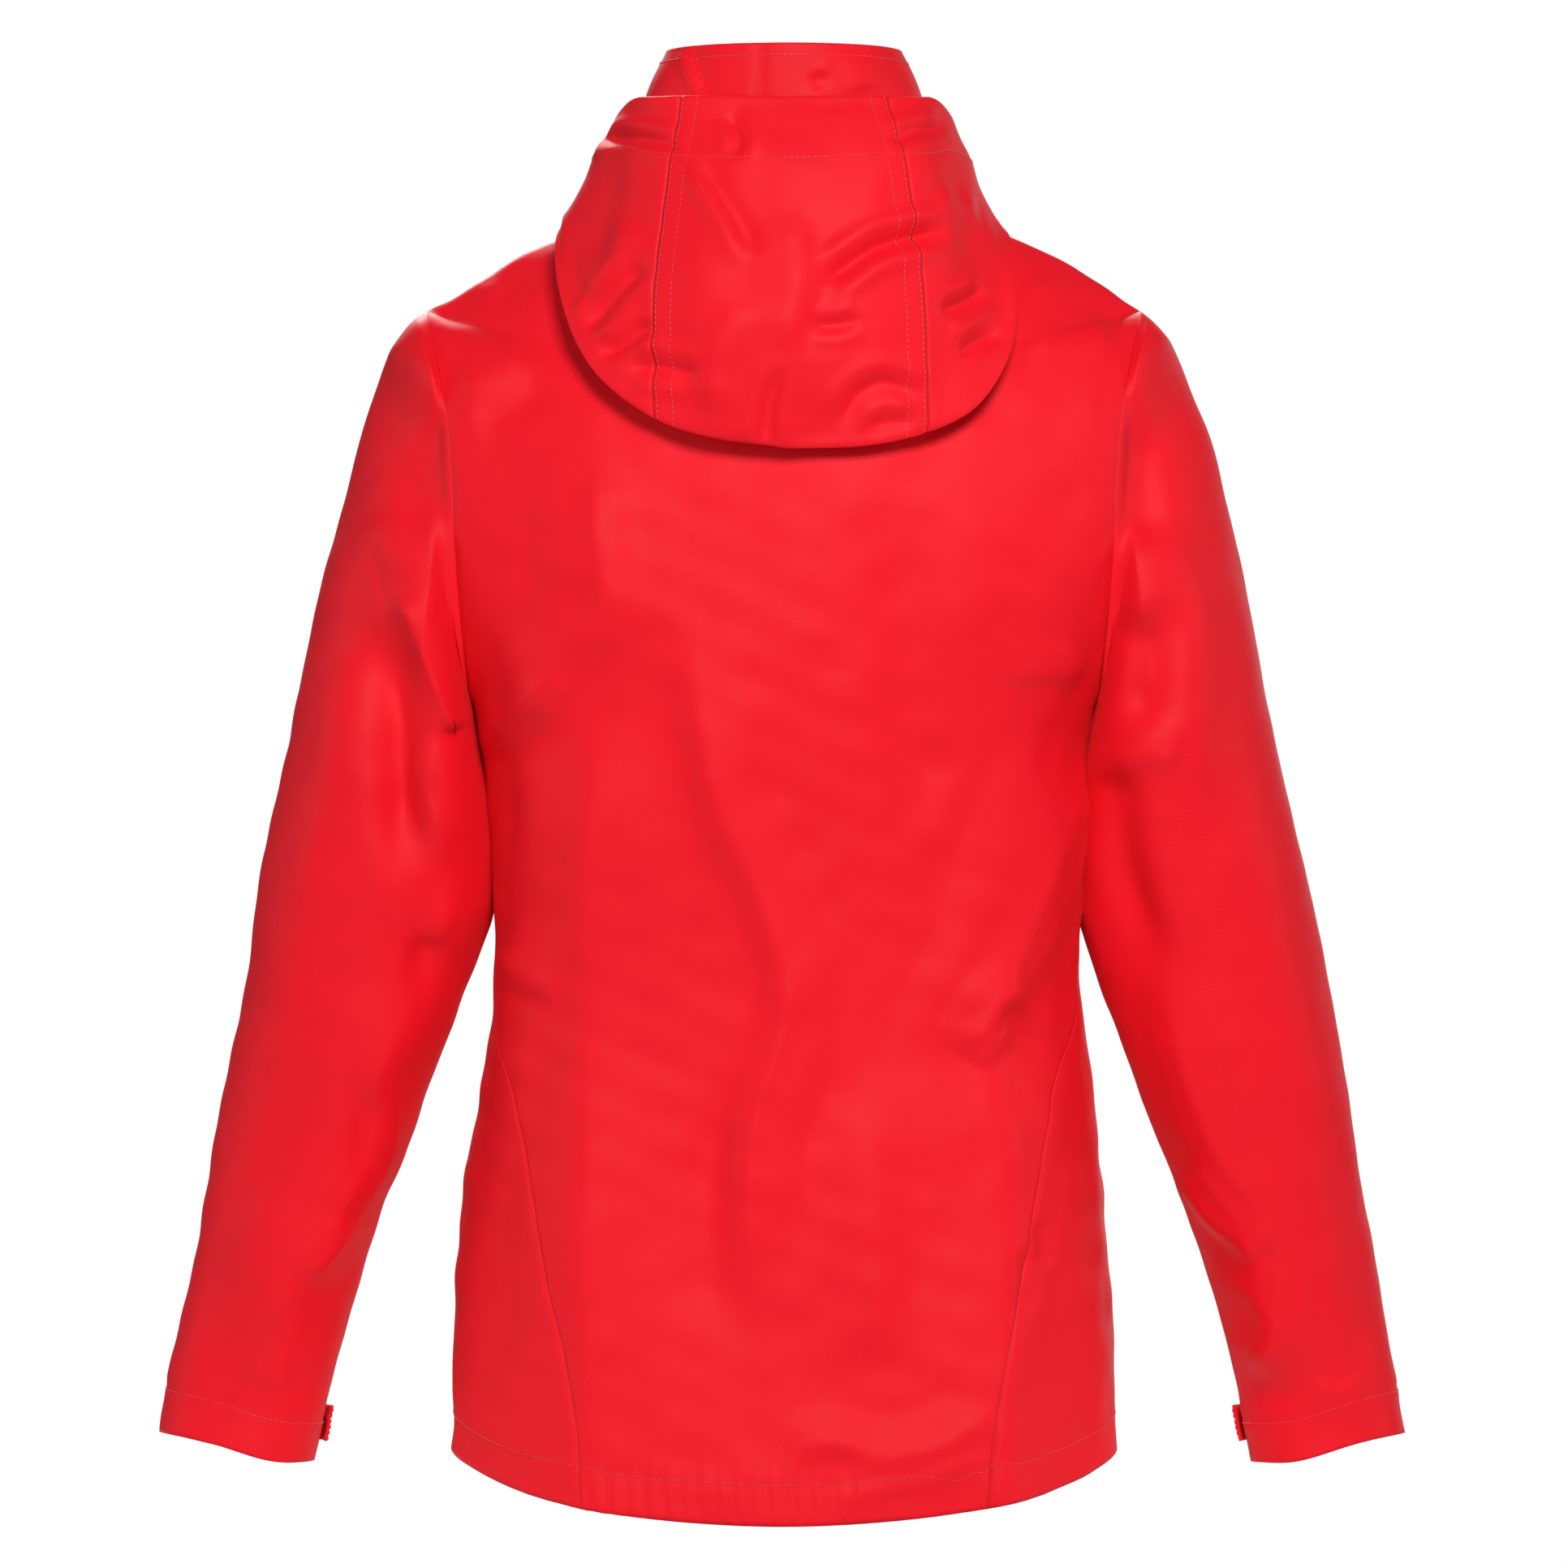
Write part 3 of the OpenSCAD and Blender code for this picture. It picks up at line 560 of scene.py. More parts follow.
class Sock:
    """A shader value; the usual operators add Math nodes."""

    def __init__(self, tree, socket):
        self.tree, self.socket = tree, socket

    def math(self, operation, *others):
        node = self.tree.nodes.new("ShaderNodeMath")
        node.operation = operation
        for slot, value in zip(node.inputs, (self,) + others):
            self.tree.join(value, slot)
        return Sock(self.tree, node.outputs[0])

    def __add__(self, other):
        return self.math("ADD", other)

    def __radd__(self, other):
        return self.math("ADD", other)

    def __sub__(self, other):
        return self.math("SUBTRACT", other)

    def __rsub__(self, other):
        return (self * -1) + other

    def __mul__(self, other):
        return self.math("MULTIPLY", other)

    def __rmul__(self, other):
        return self.math("MULTIPLY", other)

    def __truediv__(self, other):
        return self.math("DIVIDE", other)

    def sin(self):
        return self.math("SINE")

    def power(self, other):
        return self.math("POWER", other)

    def clamp(self):
        node = self.tree.nodes.new("ShaderNodeClamp")
        self.tree.join(self, node.inputs[0])
        return Sock(self.tree, node.outputs[0])


class Finish:
    """One material and its nodes."""

    def __init__(self, name):
        self.material = bpy.data.materials.new(name)
        self.material.use_nodes = True
        self.links = self.material.node_tree.links
        self.nodes = self.material.node_tree.nodes
        self.shader = next(n for n in self.nodes if n.type == "BSDF_PRINCIPLED")

    def join(self, value, socket):
        if isinstance(value, Sock):
            self.links.new(value.socket, socket)
        elif isinstance(value, (tuple, list)) and len(value) == 3 and len(socket.default_value) == 4:
            socket.default_value = (*value, 1)
        else:
            socket.default_value = value

    def node(self, kind, settings=None, output=0, **values):
        made = self.nodes.new(kind)
        for key, value in (settings or {}).items():
            setattr(made, key, value)
        for key, value in values.items():
            self.join(value, made.inputs[key.replace("_", " ")])
        return Sock(self, made.outputs[output])

    def place(self):
        return self.node("ShaderNodeTexCoord", output="Object")

    def cloth_map(self):
        return self.node("ShaderNodeUVMap", {"uv_map": "cloth"})

    def axes(self, vector):
        split = self.nodes.new("ShaderNodeSeparateXYZ")
        self.join(vector, split.inputs[0])
        return [Sock(self, s) for s in split.outputs]

    def noise(self, vector, scale, detail=2.0, rough=0.5):
        return self.node("ShaderNodeTexNoise", Vector=vector, Scale=scale, Detail=detail,
                         Roughness=rough)

    def colours(self, factor, first, second):
        made = self.nodes.new("ShaderNodeMix")
        made.data_type = "RGBA"
        self.join(factor, made.inputs[0])
        self.join(first, made.inputs[6])
        self.join(second, made.inputs[7])
        return Sock(self, made.outputs[2])

    def bump(self, height, strength, distance, normal=None):
        made = self.nodes.new("ShaderNodeBump")
        self.join(height, made.inputs["Height"])
        self.join(strength, made.inputs["Strength"])
        self.join(distance, made.inputs["Distance"])
        if normal is not None:
            self.join(normal, made.inputs["Normal"])
        return Sock(self, made.outputs[0])

    def finish(self, **values):
        for key, value in values.items():
            self.join(value, self.shader.inputs[key.replace("_", " ")])
        return self.material


def weave(f, pitch, coords):
    """Plain weave: warp and weft threads that cross over each other."""
    u, v, _ = f.axes(coords)
    turn = 2 * math.pi / pitch
    warp, weft = (u * turn).sin(), (v * turn).sin()
    over = (u * (turn / 2)).sin() * (v * (turn / 2)).sin()
    return warp * weft * 0.5 + over * 0.5 + 0.5


def stretched(f, vector, scale):
    made = f.nodes.new("ShaderNodeVectorMath")
    made.operation = "MULTIPLY"
    f.join(vector, made.inputs[0])
    made.inputs[1].default_value = scale
    return Sock(f, made.outputs[0])


def shell_fabric(name, deep, pale):
    """Matt face fabric: fine plain weave with slubs, cloudy tone and small soft dents."""
    f = Finish(name)
    where, coords = f.place(), f.cloth_map()
    cloud = f.noise(where, 8.0, 3.0)
    grain = (f.noise(stretched(f, coords, (300, 2600, 1)), 1.0)
             + f.noise(stretched(f, coords, (2600, 260, 1)), 1.0)) * 0.5
    tone = (cloud - 0.5) * 0.5 + (grain - 0.5) * 0.6 + 0.5
    colour = f.colours(tone.clamp(), deep, pale)
    dents = f.bump(f.noise(where, 42.0, 3.0), 0.3, 0.0016)
    normal = f.bump(weave(f, 0.0012, coords) * 0.6 + grain * 0.6, 0.22, 0.0002, dents)
    return f.finish(Base_Color=colour, Roughness=(grain - 0.5) * 0.16 + 0.58, Normal=normal,
                    Sheen_Weight=0.04, Sheen_Roughness=0.5, Sheen_Tint=(1.0, 0.3, 0.3),
                    Specular_IOR_Level=0.16)


def lining_mesh(name, dark, light):
    """Knitted mesh lining: rows of small holes."""
    f = Finish(name)
    coords = f.cloth_map()
    u, v, _ = f.axes(coords)
    turn = 2 * math.pi / 0.0026
    holes = ((u * turn).sin() * (v * turn).sin() + 1) * 0.5
    cloud = f.noise(f.place(), 14.0)
    colour = f.colours((holes * 0.8 + (cloud - 0.5) * 0.6).clamp(), dark, light)
    return f.finish(Base_Color=colour, Roughness=0.86, Normal=f.bump(holes, 0.5, 0.0004),
                    Sheen_Weight=0.3)


def ribbon(name, dark, light):
    """Tightly woven tape with ribs across it."""
    f = Finish(name)
    where = f.place()
    x, y, z = f.axes(where)
    turn = 2 * math.pi / 0.0009
    ribs = ((z * turn).sin() * ((x + y) * turn).sin() + 1) * 0.5
    cloud = f.noise(where, 60.0)
    colour = f.colours((ribs * 0.5 + cloud * 0.5).clamp(), dark, light)
    return f.finish(Base_Color=colour, Roughness=0.78, Normal=f.bump(ribs, 0.5, 0.0002))


def moulded(name, dark, light):
    """Moulded plastic with a fine spark-eroded grain."""
    f = Finish(name)
    where = f.place()
    cloud = f.noise(where, 90.0)
    colour = f.colours(cloud, dark, light)
    return f.finish(Base_Color=colour, Roughness=(cloud - 0.5) * 0.2 + 0.42,
                    Normal=f.bump(f.noise(where, 2200.0), 0.15, 0.00005))


def die_cast(name, dark, light):
    """Lacquered die casting: bright where handled, with faint scratches."""
    f = Finish(name)
    where = f.place()
    wear = f.noise(where, 160.0, 4.0)
    scratch = f.noise(stretched(f, where, (3000, 3000, 90)), 1.0)
    colour = f.colours((wear * 1.6 - 0.5).clamp(), dark, light)
    return f.finish(Base_Color=colour, Metallic=0.85, Roughness=scratch * 0.25 + 0.22,
                    Normal=f.bump(scratch, 0.12, 0.00004))


def thread(name, colour, shade):
    """Twisted sewing thread."""
    f = Finish(name)
    twist = f.noise(f.place(), 900.0)
    return f.finish(Base_Color=f.colours(twist, shade, colour), Roughness=0.55,
                    Sheen_Weight=0.3)


def pile(name, dark, light):
    """Hook and loop pile: a tangle of tiny loops."""
    f = Finish(name)
    where = f.place()
    loops = f.noise(where, 1500.0, 3.0, 0.7)
    colour = f.colours(loops, dark, light)
    return f.finish(Base_Color=colour, Roughness=0.9, Normal=f.bump(loops, 0.9, 0.0004),
                    Sheen_Weight=0.4)


RED_DEEP, RED_PALE = (0.72, 0.003, 0.012), (0.88, 0.008, 0.020)
shell = shell_fabric("red face fabric", RED_DEEP, RED_PALE)
coating = shell_fabric("grey inner coating", (0.16, 0.165, 0.18), (0.24, 0.245, 0.26))
mesh_lining = lining_mesh("charcoal mesh", (0.012, 0.013, 0.016), (0.06, 0.063, 0.07))
black_ribbon = ribbon("black ribbon", (0.010, 0.010, 0.011), (0.05, 0.05, 0.053))
red_tape = ribbon("red zip tape", (0.30, 0.004, 0.010), (0.52, 0.010, 0.020))
red_plastic = moulded("red moulded teeth", (0.36, 0.004, 0.010), (0.50, 0.010, 0.020))
black_plastic = moulded("black moulded grip", (0.008, 0.008, 0.009), (0.030, 0.030, 0.032))
slider_metal = die_cast("dark lacquered metal", (0.03, 0.03, 0.033), (0.30, 0.30, 0.31))
seam_thread = thread("red sewing thread", (0.86, 0.028, 0.045), (0.58, 0.008, 0.018))
red_pile = pile("red hook and loop", (0.20, 0.004, 0.008), (0.45, 0.012, 0.02))


# ---------------------------------------------------------------- lines that pieces share

def armhole_line():
    phi = np.linspace(0, math.pi, 64)
    back, front = armhole(phi, 1), armhole(phi, -1)
    return np.concatenate([back, front[::-1]])


def collar_point(h, a, side):
    e = mix(NECK_SIDE, COLLAR_TOP_SIDE, h[..., None])
    e = e + np.stack([7 * np.sin(math.pi * h ** 1.4), 0 * h, 0 * h], -1)
    if side > 0:
        c = np.stack([0 * h, -COLLAR_LEAN * h, COLLAR_BACK * h], -1)
    else:
        z = mix(NECK_FRONT_Z, COLLAR_FRONT, h)
        c = np.stack([0 * h, front_y(z), z], -1)
    k = np.sin(a)
    return np.stack([e[..., 0] * np.cos(a), mix(e[..., 1], c[..., 1], k),
                     mix(e[..., 2], c[..., 2], k)], -1)


def collar_rows(levels, gap):
    """Collar from the left front edge round the back to the right front edge."""
    rows = []
    for h in levels:
        width = mix(NECK_SIDE[0], COLLAR_TOP_SIDE[0], h)
        end = math.acos(gap / width)
        a = np.linspace(-end, math.pi / 2, 66)
        p = np.where((a > 0)[:, None], collar_point(h + 0 * a, np.abs(a), 1),
                     collar_point(h + 0 * a, np.abs(a), -1))
        rows.append(np.concatenate([p, (p * FLIP_X)[::-1][1:]]))
    return np.array(rows)


ARMHOLE_LEFT = armhole_line()
ARMHOLE_RIGHT = ARMHOLE_LEFT * FLIP_X
NECKLINE = collar_rows([0.0], ZIP_GAP)[0]
LOW = np.linspace(0, 1, 40)
BACK_SEAM_LEFT = lower(LOW, seam_angles(LOW, 1), 1)
FRONT_SEAM_LEFT = lower(LOW, seam_angles(LOW, -1), -1)
SHOULDER_LEFT = upper(np.linspace(ARMHOLE_SHARE, 1, 20), np.zeros(20), 1)


HEM_SHARE = HEM / (SIDE_DROP - UNDERARM)


def hem_line(side):
    """Line of the hem's stitches, from the seam to the centre."""
    t = np.full(60, HEM_SHARE)
    a = mix(seam_angles(t, side), math.pi / 2, np.linspace(0, 1, 60))
    return lower(t, a, side)


HEM_BACK = np.concatenate([hem_line(1), hem_line(1)[::-1][1:] * FLIP_X])
HEM_FRONT = hem_line(-1)
BODY_SEAMS_LEFT = [(BACK_SEAM_LEFT, SIDE_SEAM), (FRONT_SEAM_LEFT, SIDE_SEAM),
                   (ARMHOLE_LEFT, ARMHOLE_SEAM), (SHOULDER_LEFT, PLAIN_SEAM)]
BODY_SEAMS = BODY_SEAMS_LEFT + [(line * FLIP_X, strength) for line, strength in BODY_SEAMS_LEFT]
BODY_HELD = [(ARMHOLE_LEFT, 22), (ARMHOLE_RIGHT, 22), (NECKLINE, 26)]
BODY_SWELL, BODY_SEED = 2.4, 3

# Small puckers stand over the back hem's stitches, most on the right
PUCKERS = [fold("ridge", 3.4, 0.9, (x, -714), (x + 1.5, -700), (x + 2.5, -672 + 7 * math.sin(x)),
                fade=(0.1, 0.7)) for x in range(-132, 130, 9)]


def body_lift(grid, side):
    if side > 0:
        folds, hem = BACK_FOLDS + PUCKERS, HEM_BACK
    else:
        folds, hem = FRONT_FOLDS, HEM_FRONT
    seams = BODY_SEAMS + [(NECKLINE, PLAIN_SEAM), (hem, PLAIN_SEAM)]
    return lifted(grid, folds, side, outward(grid), BODY_SWELL, BODY_SEED, BODY_HELD, seams)


# ---------------------------------------------------------------- body

def side_lift(grid):
    """A side panel takes the back's folds behind and the front's folds before the wearer's side."""
    out = outward(grid)
    behind = lifted(grid, BACK_FOLDS + PUCKERS, 1, out, BODY_SWELL, BODY_SEED, BODY_HELD,
                    BODY_SEAMS + [(HEM_BACK, PLAIN_SEAM)])
    before = lifted(grid, FRONT_FOLDS, -1, out, BODY_SWELL, BODY_SEED, BODY_HELD,
                    BODY_SEAMS + [(HEM_FRONT, PLAIN_SEAM)])
    return mix(before, behind, smooth((out[..., 1:2] + 0.2) / 0.4))


def body_panels():
    front, sides = front_grid(), side_grid()
    return {"back_panel": body_lift(back_grid(), 1),
            "front_panel_left": body_lift(front, -1),
            "front_panel_right": body_lift(mirrored(front), -1),
            "side_panel_left": side_lift(sides),
            "side_panel_right": side_lift(mirrored(sides))}


def place(obj, body, *nodes, slot):
    """A piece that rides one body and stands for some CAD nodes."""
    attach(obj, body)
    if nodes:
        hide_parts(*nodes)


def bend(obj, node, start, end):
    """A piece of shell fabric that stands for a CAD node, which is hidden, with its place baked into
    its mesh.
    """
    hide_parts(node)
    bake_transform(obj)


def joined(name, parts):
    bpy.ops.object.select_all(action="DESELECT")
    for p in parts:
        p.select_set(True)
    bpy.context.view_layer.objects.active = parts[0]
    bpy.ops.object.join()
    parts[0].name = name
    return parts[0]


BODY = body_panels()
for node, grid in BODY.items():
    place(cloth("shell_" + node, grid, shell, coating), "torso", node, slot="shell_fabric")


def lining_piece():
    """Loose mesh lining that hangs inside the body."""
    # Clear of the zip's slider in front
    front = front_grid()[:, 6:]
    grids = [grid[8:-24:6, ::4] for grid in (back_grid(), front, mirrored(front))]
    grids += [grid[8::6, ::4] for grid in (side_grid(), mirrored(side_grid()))]
    parts = []
    for i, grid in enumerate(grids):
        inner = grid - 8 * outward(grid) + 1.2 * ripple(grid, 60, 50 + i)[..., None]
        parts.append(cloth(f"lining_part_{i}", inner, mesh_lining, mesh_lining, 0.7))
    return joined("lining_of_the_body", parts)


place(lining_piece(), "torso", "body_lining", slot="lining")


def facing_strip(name, grid, rows, depth):
    """Turned-in edge of some rows of a piece, inside it."""
    inner = grid[rows] - depth * grid_normals(grid)[rows]
    return cloth(name, inner, shell, shell, THIN_FABRIC)


def hem_piece():
    parts = [facing_strip("hem_part_" + node, grid, slice(0, 8), FABRIC + 0.7)
             for node, grid in BODY.items()]
    return joined("turned_up_hem", parts)


place(hem_piece(), "torso", "hem_facing", slot="shell_fabric")


# ---------------------------------------------------------------- collar

COLLAR_FOLDS = [
    fold("step", 4, 1.8, (52, 74), (48, 62), (43, 46), fade=(0.1, 0.3)),
    fold("pinch", 6, 1.4, (-14, 58), (-18, 56), (-24, 55)),
    fold("valley", 3, 0.8, (13, 75), (13, 40), (14, 5), fade=(0, 0.3)),
    fold("ridge", 9, 1.0, (-40, 70), (-44, 50)),
]


def collar_grid(levels, gap, deep):
    grid = collar_rows(levels, gap)
    axis = np.stack([0 * grid[..., 0], np.full(grid.shape[:-1], -80.0), grid[..., 2]], -1)
    out = unit(grid - axis)
    held, seams = [(NECKLINE, 18)], [(NECKLINE, PLAIN_SEAM)]
    return lifted(grid, COLLAR_FOLDS, 1, out, 0.7, 21, held, seams) - deep * out


def collar_pieces():
    levels = np.linspace(0.0, 1.0, 34)
    wall = collar_grid(levels, ZIP_GAP, 0)
    inner = collar_grid(levels[::-1], ZIP_GAP, 3.2)
    # The cloth rolls over the top edge and comes a little way down inside
    crown = [mix(wall[-1], inner[0], 0.5 - 0.5 * math.cos(q)) + np.array([0, 0, 1.6 * math.sin(q)])
             for q in np.linspace(0, math.pi, 7)[1:-1]]
    whole = np.concatenate([wall, np.array(crown), inner[:5]])
    place(cloth("collar_shell", whole, shell, coating, THIN_FABRIC), "torso", "collar_outer",
          slot="shell_fabric")
    soft = collar_grid(levels[1:-2:2], 15, 2.2)
    place(cloth("collar_inside", soft, mesh_lining, mesh_lining, THIN_FABRIC), "torso",
          "collar_lining", slot="lining")
    return wall


COLLAR = collar_pieces()


# ---------------------------------------------------------------- hood

# From the centre back to the end at the front of the neck: brim, and fold on each side
BRIM = curve([(0, (0, 22, 46)), (0.17, (38, 20, 46.5)), (0.33, (70, 6, 46)),
              (0.43, (82, -14, 45.5)), (0.5, (89, -30, 39)), (0.66, (93, -62, 18)),
              (0.83, (84, -104, -8)), (1, (62, -140, -46))])
FOLD_LEFT = curve([(0, (0, 57, -143)), (0.13, (38, 55, -138)), (0.24, (66, 49, -129)),
                   (0.36, (96, 38, -108)), (0.48, (113, 20, -82)), (0.6, (122, -8, -48)),
                   (0.7, (121.5, -34, -27)), (0.84, (108, -88, -26)), (1, (64, -141, -50))])
FOLD_RIGHT = curve([(0, (0, 57, -144)), (0.14, (46, 55, -142)), (0.25, (76, 49, -135)),
                    (0.37, (104, 40, -120)), (0.48, (121, 22, -92)), (0.6, (125, -6, -54)),
                    (0.7, (121.5, -34, -29)), (0.84, (108, -88, -26)), (1, (64, -141, -50))])
NAPE_ROWS, CROWN_ROWS, HOOD_COLS = 44, 92, 232
# Column of the seam between the hood's side and centre panels, and the last column of a cheek
HOOD_SPLIT, CHEEK = 87, 42


def neck_at(share):
    """Point on the neck seam, from the centre back (0) to the front end of the hood (1)."""
    a = np.radians(mix(90, -58, np.asarray(share, float)))
    back = collar_point(0 * a, np.abs(a), 1)
    front = collar_point(0 * a, np.abs(a), -1)
    return np.where((a > 0)[..., None], back, front)


def hood_column(s, fold_line):
    brim, bottom, neck = BRIM(s), fold_line(s), neck_at(s)
    away = unit(np.array([brim[0] + bottom[0], brim[1] + bottom[1] + 130, 0]))
    bulge = 26 * (1 - smooth(s / 0.47))
    t = np.linspace(0, 1, CROWN_ROWS + 1)[:, None]
    crown = mix(bottom, brim, t) + bulge * np.sin(math.pi * (1 - t) ** 1.15) * away
    crown = crown + 3.0 * np.exp(-((t - 0.82) / 0.10) ** 2) * away * (1 - s)
    t = np.linspace(0, 1, NAPE_ROWS + 1)[:-1, None]
    sag = np.array([0, 0.6, -1.0]) * 10 * (1 - s)
    nape = mix(neck + 3 * away, bottom, t) + np.sin(math.pi * t) * (sag - 3 * away)
    nape = nape + away * 26 * (1 - s) * np.sin(math.pi * t) ** 2 * (1 - t)
    return np.concatenate([nape, crown])


def hood_grid():
    shares = np.linspace(1, -1, HOOD_COLS + 1)
    columns = []
    for s in shares:
        column = hood_column(abs(s), FOLD_LEFT if s > 0 else FOLD_RIGHT)
        columns.append(column if s >= 0 else column * FLIP_X)
    return np.stack(columns, axis=1)


def even(grid, passes):
    """Takes small kinks out of a grid."""
    for _ in range(passes):
        grid[1:-1] = 0.25 * grid[:-2] + 0.5 * grid[1:-1] + 0.25 * grid[2:]
        grid[:, 1:-1] = 0.25 * grid[:, :-2] + 0.5 * grid[:, 1:-1] + 0.25 * grid[:, 2:]
    return grid


def hood_surface():
    grid = even(hood_grid(), 3)
    # Round the fold where the two layers meet
    near = np.exp(-((np.arange(len(grid))[1:-1] - NAPE_ROWS) / 5.0) ** 2)[:, None, None]
    edge = grid[NAPE_ROWS].copy()
    for _ in range(22):
        grid[1:-1] = mix(grid[1:-1], (grid[:-2] + grid[2:]) / 2, near)
    back_out = np.exp(-((np.arange(len(grid)) - NAPE_ROWS) / 14.0) ** 2)[:, None, None]
    grid = grid + back_out * (edge - grid[NAPE_ROWS])
    out = even(grid_normals(grid), 6)
    held = [(grid[-1], 14), (grid[:, 0], 20), (grid[:, -1], 20), (NECKLINE, 24),
            (grid[NAPE_ROWS], 9)]
    seams = [(grid[NAPE_ROWS:, c], PLAIN_SEAM) for c in (HOOD_SPLIT, HOOD_COLS - HOOD_SPLIT)]
    return lifted(grid, HOOD_FOLDS, 1, out, 2.6, 31, held, seams)


HOOD = hood_surface()


def hood_pieces():
    crown = HOOD[NAPE_ROWS:]
    # The brim's cloth rolls over its edge to the inside
    n = grid_normals(crown)[-1]
    up = unit(crown[-1] - crown[-3])
    roll = [crown[-1] + 1.5 * math.sin(q) * up - 1.5 * (1 - math.cos(q)) * n
            for q in np.linspace(0, math.pi, 6)[1:]]
    outer = np.concatenate([crown, np.array(roll)])
    c, last = HOOD_SPLIT, HOOD_COLS
    spans = {"hood_left_panel": slice(0, c + 1), "hood_centre_panel": slice(c, last - c + 1),
             "hood_right_panel": slice(last - c, last + 1)}
    for node, span in spans.items():
        place(cloth("shell_" + node, outer[:, span], shell, coating, THIN_FABRIC), "hood", node,
              slot="shell_fabric")
    facing = facing_strip("brim_inside_hem", crown, slice(-18, None), 2.2)
    place(facing, "hood", "hood_brim_facing", slot="shell_fabric")
    nape = HOOD[:NAPE_ROWS + 1]
    bend(cloth("shell_hood_nape", nape, shell, shell, THIN_FABRIC), "hood_nape_panel",
         (0, 0.004, 0.0), (0, 0.010, -0.0144))
    # Beside the neck a second layer closes the hood against the collar when it is lifted
    for side, sign, span in (("left", 1, slice(0, CHEEK + 1)),
                             ("right", -1, slice(-CHEEK - 1, None))):
        cheek = nape[:, span] - 0.9 * outward(nape[:, span])
        bend(cloth("hood_cheek_" + side, cheek, shell, shell, 0.5), "hood_nape_panel",
             (0.124 * sign, 0, 0), (0.1305 * sign, -0.00315, 0))


hood_pieces()


# ---------------------------------------------------------------- sleeves

# Outer and inner edge seen from behind, middle front to back, half depth, at each station
SLEEVE = curve([(1, (215, -99, 161, -303, -65, 74)), (2, (229, -136, 155, -342, -63, 75)),
                (3, (241.5, -187, 154.5, -378, -63, 74)), (4, (253, -239, 161, -404, -65, 71)),
                (5, (266.5, -305, 175, -440, -69, 66)), (6, (280.5, -376, 190.5, -479, -75, 61)),
                (7, (294, -446, 206, -520, -82, 57)), (8, (307, -516, 220, -561, -88, 52)),
                (9, (319, -580, 233, -603, -92, 47)), (10, (327.5, -624, 244, -641, -94, 43)),
                (11, (335, -669, 252, -680, -95, 41))])
SLEEVE_AROUND = 132
SLEEVE_LONG = 196


def sleeve_ring(station, phi):
    s = SLEEVE(station)
    outer, inner = np.array([s[0], 0, s[1]]), np.array([s[2], 0, s[3]])
    middle, half = (outer + inner) / 2, (outer - inner) / 2
    middle[1] = s[4]
    power = mix(1.42, 1.0, smooth((station - 1) / 6))
    c, d = (np.sign(f) * np.abs(f) ** power for f in (np.cos(phi), np.sin(phi)))
    flat = c[:, None] * half
    deep = np.stack([0 * phi, s[5] * d, 0 * phi], -1)
    return middle + flat + deep


def sleeve_head(t, phi):
    """The crown swells out of the armhole (t = 0) before it falls into the sleeve (t = 1)."""
    first, second = sleeve_ring(1, phi), sleeve_ring(2, phi)
    top = (1 + np.cos(phi)) / 2
    leave = unit(np.stack([mix(0.15, 0.8, top), -0.12 * np.sin(phi), mix(-1.0, -0.62, top)], -1))
    return ((2 * t ** 3 - 3 * t ** 2 + 1) * armhole(phi, 1) + (t ** 3 - 2 * t ** 2 + t) * 40 * leave
            + (-2 * t ** 3 + 3 * t ** 2) * first + (t ** 3 - t ** 2) * (second - first))


def sleeve_surface():
    """Rows run from the cuff up to the armhole, columns round the back."""
    phi = np.linspace(0, 2 * math.pi, SLEEVE_AROUND + 1)
    return np.array([sleeve_ring(s, phi) if s >= 1 else sleeve_head(s, phi)
                     for s in np.linspace(11, 0, SLEEVE_LONG + 1)])


def cuff_drop(grid):
    """The cuff's edge dips on the little-finger side and rises at the outer corner."""
    near = smooth((-610 - grid[..., 2]) / 60)[..., None]
    middle = grid[..., 0:1] - 272
    return grid + near * np.array([0, 0, -1.0]) * 7 * np.exp(-(middle / 30) ** 2)


SLEEVE_GRID = cuff_drop(sleeve_surface())


def sleeve_front_folds(side):
    marks = [((218, -190), (238, -220), (250, -250)), ((196, -300), (222, -330), (256, -352)),
             ((206, -400), (236, -420), (272, -424)), ((214, -446), (244, -452), (278, -444)),
             ((238, -560), (262, -570), (296, -562))]
    folds = [fold("pinch", 8, 3.0, *[(x * side, z) for x, z in m]) for m in marks]
    return folds + [fold("soft", 14, 4.0 * side, (222 * side, -230), (226 * side, -330),
                         (246 * side, -420), (276 * side, -540))]


def sleeve_lift(grid, folds, armhole_seam, seed):
    side = np.sign(grid[..., 0].mean())
    out = unit(grid - grid.mean(axis=1, keepdims=True))
    held = [(armhole_seam, 7)]
    seams = [(armhole_seam, ARMHOLE_SEAM), (grid[10], PLAIN_SEAM)]
    behind = lifted(grid, folds, 1, out, 1.7, seed, held, seams)
    before = lifted(grid, sleeve_front_folds(side), -1, out, 0, seed, held)
    return behind + before - grid


LEFT_SLEEVE = sleeve_lift(SLEEVE_GRID, LEFT_SLEEVE_FOLDS, ARMHOLE_LEFT, 41)
RIGHT_SLEEVE = sleeve_lift(mirrored(SLEEVE_GRID), RIGHT_SLEEVE_FOLDS, ARMHOLE_RIGHT, 47)


def sleeve_pieces(side, grid, sign):
    body = side + "_sleeve"
    tube = cloth("shell_sleeve_" + side, grid, shell, coating, FABRIC, ring=True)
    # Line from the underarm up to the outside of the shoulder
    bend(tube, "sleeve_" + side, (0.162 * sign, -0.065, -0.285),
         (0.221 * sign, -0.065, -0.303))
    inside = cloth("cuff_hem_" + side, grid[:9] - 1.7 * ring_normals(grid)[:9], shell, shell,
                   THIN_FABRIC, ring=True)
    place(inside, body, "cuff_facing_" + side, slot="shell_fabric")


